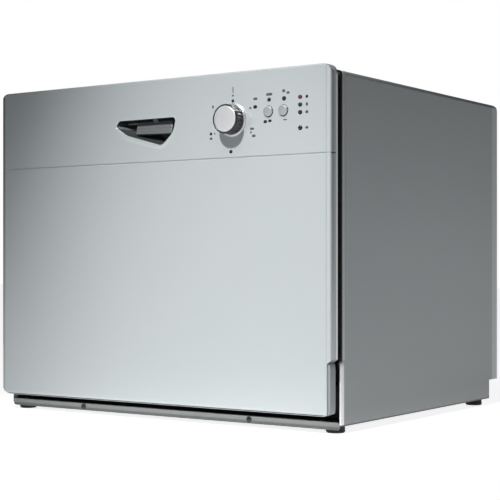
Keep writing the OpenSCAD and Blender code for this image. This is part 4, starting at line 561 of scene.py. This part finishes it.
def turned(name, profile, x, z, material, count=96, flutes=0, cut=0.0):
    """A profile of (radius, out) in millimetres, turned about the line through (x, z) that points at the
    viewer. Flutes take off cut (1 - cos(flutes turn)) / 2 where the radius is full, and fade out at both of
    their ends."""
    profile = np.array(profile, float)
    turn = np.linspace(0, 2 * np.pi, count, endpoint=False)
    r, out = profile[:, :1], profile[:, 1:2]
    skin, fade, flute_start, flute_end = 0.6, 0.8, 3.5, 15.2
    full = np.clip((r - r.max() + skin) / skin, 0, 1)
    full = full * np.clip((out - flute_start) / fade, 0, 1) * np.clip((flute_end - out) / fade, 0, 1)
    r = r - full * cut * (1 - np.cos(flutes * turn)) / 2
    points = from_face(x + r * np.sin(turn), -out, z + r * np.cos(turn))
    return lay_mesh(name, points, grid_faces(len(profile), count, close_cols=True), material)


barrel = [(0, -9), (2.95, -9), (2.95, 2.52), (17.2, 2.52), (18.1, 2.7), (18.5, 3.2), (18.5, 3.6), (18.5, 4.4),
          (18.5, 9.4), (18.5, 14.4), (18.5, 15.3), (18.5, 16.2), (18.3, 16.9), (17.8, 17.35), (17.1, 17.45),
          (16.6, 17.25), (16.45, 16.6), (0, 16.6)]
knob_barrel = turned("knob_barrel", barrel, knob_x, knob_z, knob_black, count=240, flutes=24, cut=0.9)
disc = [(0, 16.3), (16.3, 16.3), (16.35, 16.9), (16.2, 17.2), (15.6, 17.4), (13, 17.62), (9, 17.82),
        (4.5, 17.95), (0, 18)]
knob_cap = turned("knob_cap", disc, knob_x, knob_z, knob_disc)
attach(knob_barrel, "knob")
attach(knob_cap, "knob")
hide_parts("program_knob")

# The line follows (radius, out) over the rim. It is 1.5 mm wide, both of its borders are sunk into the
# barrel, and it leans to the right.
pale_line = finish("pale_line", (0.62, 0.63, 0.63), (0.56, 0.57, 0.57), 0.5, grain=800, relief=0.05)
path = np.array([(16.7, 17.3), (17.1, 17.53), (17.8, 17.43), (18.38, 16.95), (18.56, 16.2), (18.56, 12),
                 (18.56, 7.5), (18.2, 7.3)])
across = np.array([-0.75, -0.6, 0, 0.6, 0.75])
sunk = np.array([0.25, 0, 0, 0, 0.25])
lean = math.radians(58)
r = path[:, :1] - sunk
points = from_face(knob_x + r * math.sin(lean) + across * math.cos(lean), sunk - path[:, 1:],
                   knob_z + r * math.cos(lean) - across * math.sin(lean))
knob_line = lay_mesh("knob_line", points, grid_faces(len(path), len(across)), pale_line,
                     toward=(math.sin(lean), -0.5, math.cos(lean)))
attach(knob_line, "knob")


# ---------------------------------------------------------------- buttons and lamps
# Two silver push buttons stand in the fascia, each with a dark ring round it as painted shade of its gap, and
# the smoked lenses of the program lamps are pressed in from behind; the uppermost lights red.
button_silver = finish("button_silver", (0.43, 0.45, 0.455), (0.39, 0.41, 0.415), 0.36, metal=0.55,
                       grain=1800, relief=0.06)
coat(button_silver, "button_left", "button_right")
# Painted shade: the dark ring round each button stands for the shade in its gap.
button_gap_shade = finish("button_gap_shade", (0.05, 0.052, 0.055), (0.07, 0.072, 0.075), 0.6, grain=900)
gap_ring = [(6.56, -0.4), (6.56, 0.1), (6.7, 0.14), (7.05, 0.14), (7.2, 0.1), (7.2, -0.4), (6.56, -0.4)]
for name, x in (("button_gap_left", 182.0), ("button_gap_right", 204.0)):
    gap = turned(name, gap_ring, x, 394.0, button_gap_shade)
    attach(gap, "door")
smoked = finish("smoked", (0.01, 0.008, 0.008), (0.016, 0.012, 0.012), 0.2, grain=600)
lamp_red = finish("lamp_red", (0.11, 0.01, 0.012), (0.15, 0.014, 0.016), 0.18, grain=600)
coat(smoked, "indicator_lenses")
for name, x, z, size, glass in (
    ("lamp_1", 228.3, 408.5, 1.75, lamp_red),
    ("lamp_2", 228.3, 399.2, 1.75, smoked),
    ("lamp_3", 228.3, 389.8, 1.75, smoked),
    ("lamp_4", 228.3, 371.0, 1.75, smoked),
    ("lamp_5", 183.0, 408.2, 1.45, smoked),
    ("lamp_6", 205.0, 408.2, 1.45, smoked),
):
    lens = [(0, 0.1), (size, 0.1), (size, 0.3), (size * 0.92, 0.45), (size * 0.7, 0.6), (size * 0.35, 0.7),
            (0, 0.73)]
    dome = turned(name, lens, x, z, glass, count=24)
    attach(dome, "door")


# ---------------------------------------------------------------- printed marks
# Dots, ticks and short bars are screen printed on the fascia beside the knob, the buttons and the lamps, in a
# dark and a grey ink. A dark disc lies behind each lamp.
ink_dark = finish("ink_dark", (0.012, 0.013, 0.014), (0.018, 0.019, 0.02), 0.6, grain=900, specular=0.15)
ink_grey = finish("ink_grey", (0.07, 0.073, 0.076), (0.09, 0.093, 0.096), 0.6, grain=900, specular=0.2)


def printed(name, marks, material, film=0.06):
    """Each mark (x, z, half width, half height, power) is the outline |u|^power + |v|^power = 1, raised by
    `film` of ink and closed over its middle."""
    marks = np.array(marks, float)
    count = 20
    turn = np.linspace(0, 2 * np.pi, count, endpoint=False)
    c, d = np.cos(turn), np.sin(turn)
    power = 2 / marks[:, 4:5]
    u, v = np.sign(c) * np.abs(c) ** power, np.sign(d) * np.abs(d) ** power
    size = np.array([1.0, 1.0, 0.9, 0.0])
    out = np.array([-0.02, film * 0.7, film, film])
    x = marks[:, 0, None, None] + size[:, None] * (marks[:, 2:3] * u)[:, None]
    z = marks[:, 1, None, None] + size[:, None] * (marks[:, 3:4] * v)[:, None]
    one = grid_faces(len(size), count, close_cols=True)
    faces = np.concatenate([one + len(size) * count * i for i in range(len(marks))])
    return lay_mesh(name, from_face(x, -out[:, None], z), faces, material, toward=(0, -1, 0))


marks_dark = printed("marks_dark", [
    (128.6, 410.3, 2.2, 2.2, 2), (94.6, 370.7, 2.1, 2.0, 2), (177.4, 381.5, 2.6, 1.9, 3),
    (184.3, 382.0, 2.5, 1.6, 3), (162.4, 400.6, 2.8, 2.2, 2.6), (125.6, 346.8, 2.6, 2.3, 2),
    (237.8, 408.5, 2.0, 2.0, 2), (228.3, 408.5, 3.0, 2.6, 2), (228.3, 399.2, 3.1, 2.7, 2),
    (228.3, 389.8, 3.1, 2.8, 2), (228.3, 371.0, 3.2, 3.0, 2), (183.0, 408.2, 2.7, 2.5, 2),
    (205.0, 408.2, 3.0, 2.9, 2),
], ink_dark)
marks_grey = printed("marks_grey", [
    (128.8, 424.1, 0.7, 4.0, 4), (128.6, 417.0, 1.5, 1.2, 3), (97.7, 404.8, 1.6, 2.0, 2),
    (100.6, 370.9, 1.2, 1.1, 2), (94.8, 364.8, 2.1, 1.6, 3), (162.6, 410.6, 3.0, 1.7, 4),
    (155.2, 399.6, 1.6, 1.4, 3), (157.6, 373.8, 2.9, 1.5, 4), (160.2, 364.9, 2.7, 1.6, 4),
    (183.2, 414.8, 4.6, 1.7, 5), (204.4, 417.6, 2.1, 1.9, 3), (210.8, 415.0, 2.3, 1.5, 3),
    (206.4, 382.2, 2.6, 0.8, 5), (237.8, 399.2, 1.5, 2.2, 3), (237.8, 389.8, 2.1, 1.9, 3),
    (237.8, 371.0, 2.3, 1.6, 2), (155.9, 369.4, 1.2, 1.3, 2),
], ink_grey)
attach(marks_dark, "door")
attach(marks_grey, "door")


# ---------------------------------------------------------------- rack
# The rack is welded from wire and dipped in light grey nylon; the folding shelf and the wheel brackets are
# moulded in the same grey. It rolls on four milky wheels.
nylon = finish("nylon", (0.62, 0.64, 0.66), (0.56, 0.58, 0.6), 0.38, grain=900, relief=0.15)
coat(nylon, "rack_floor", "rack_end_walls", "rack_side_walls", "plate_tines", "wheel_brackets", "cup_shelf")
coat(milk, "front_wheels", "rear_wheels")
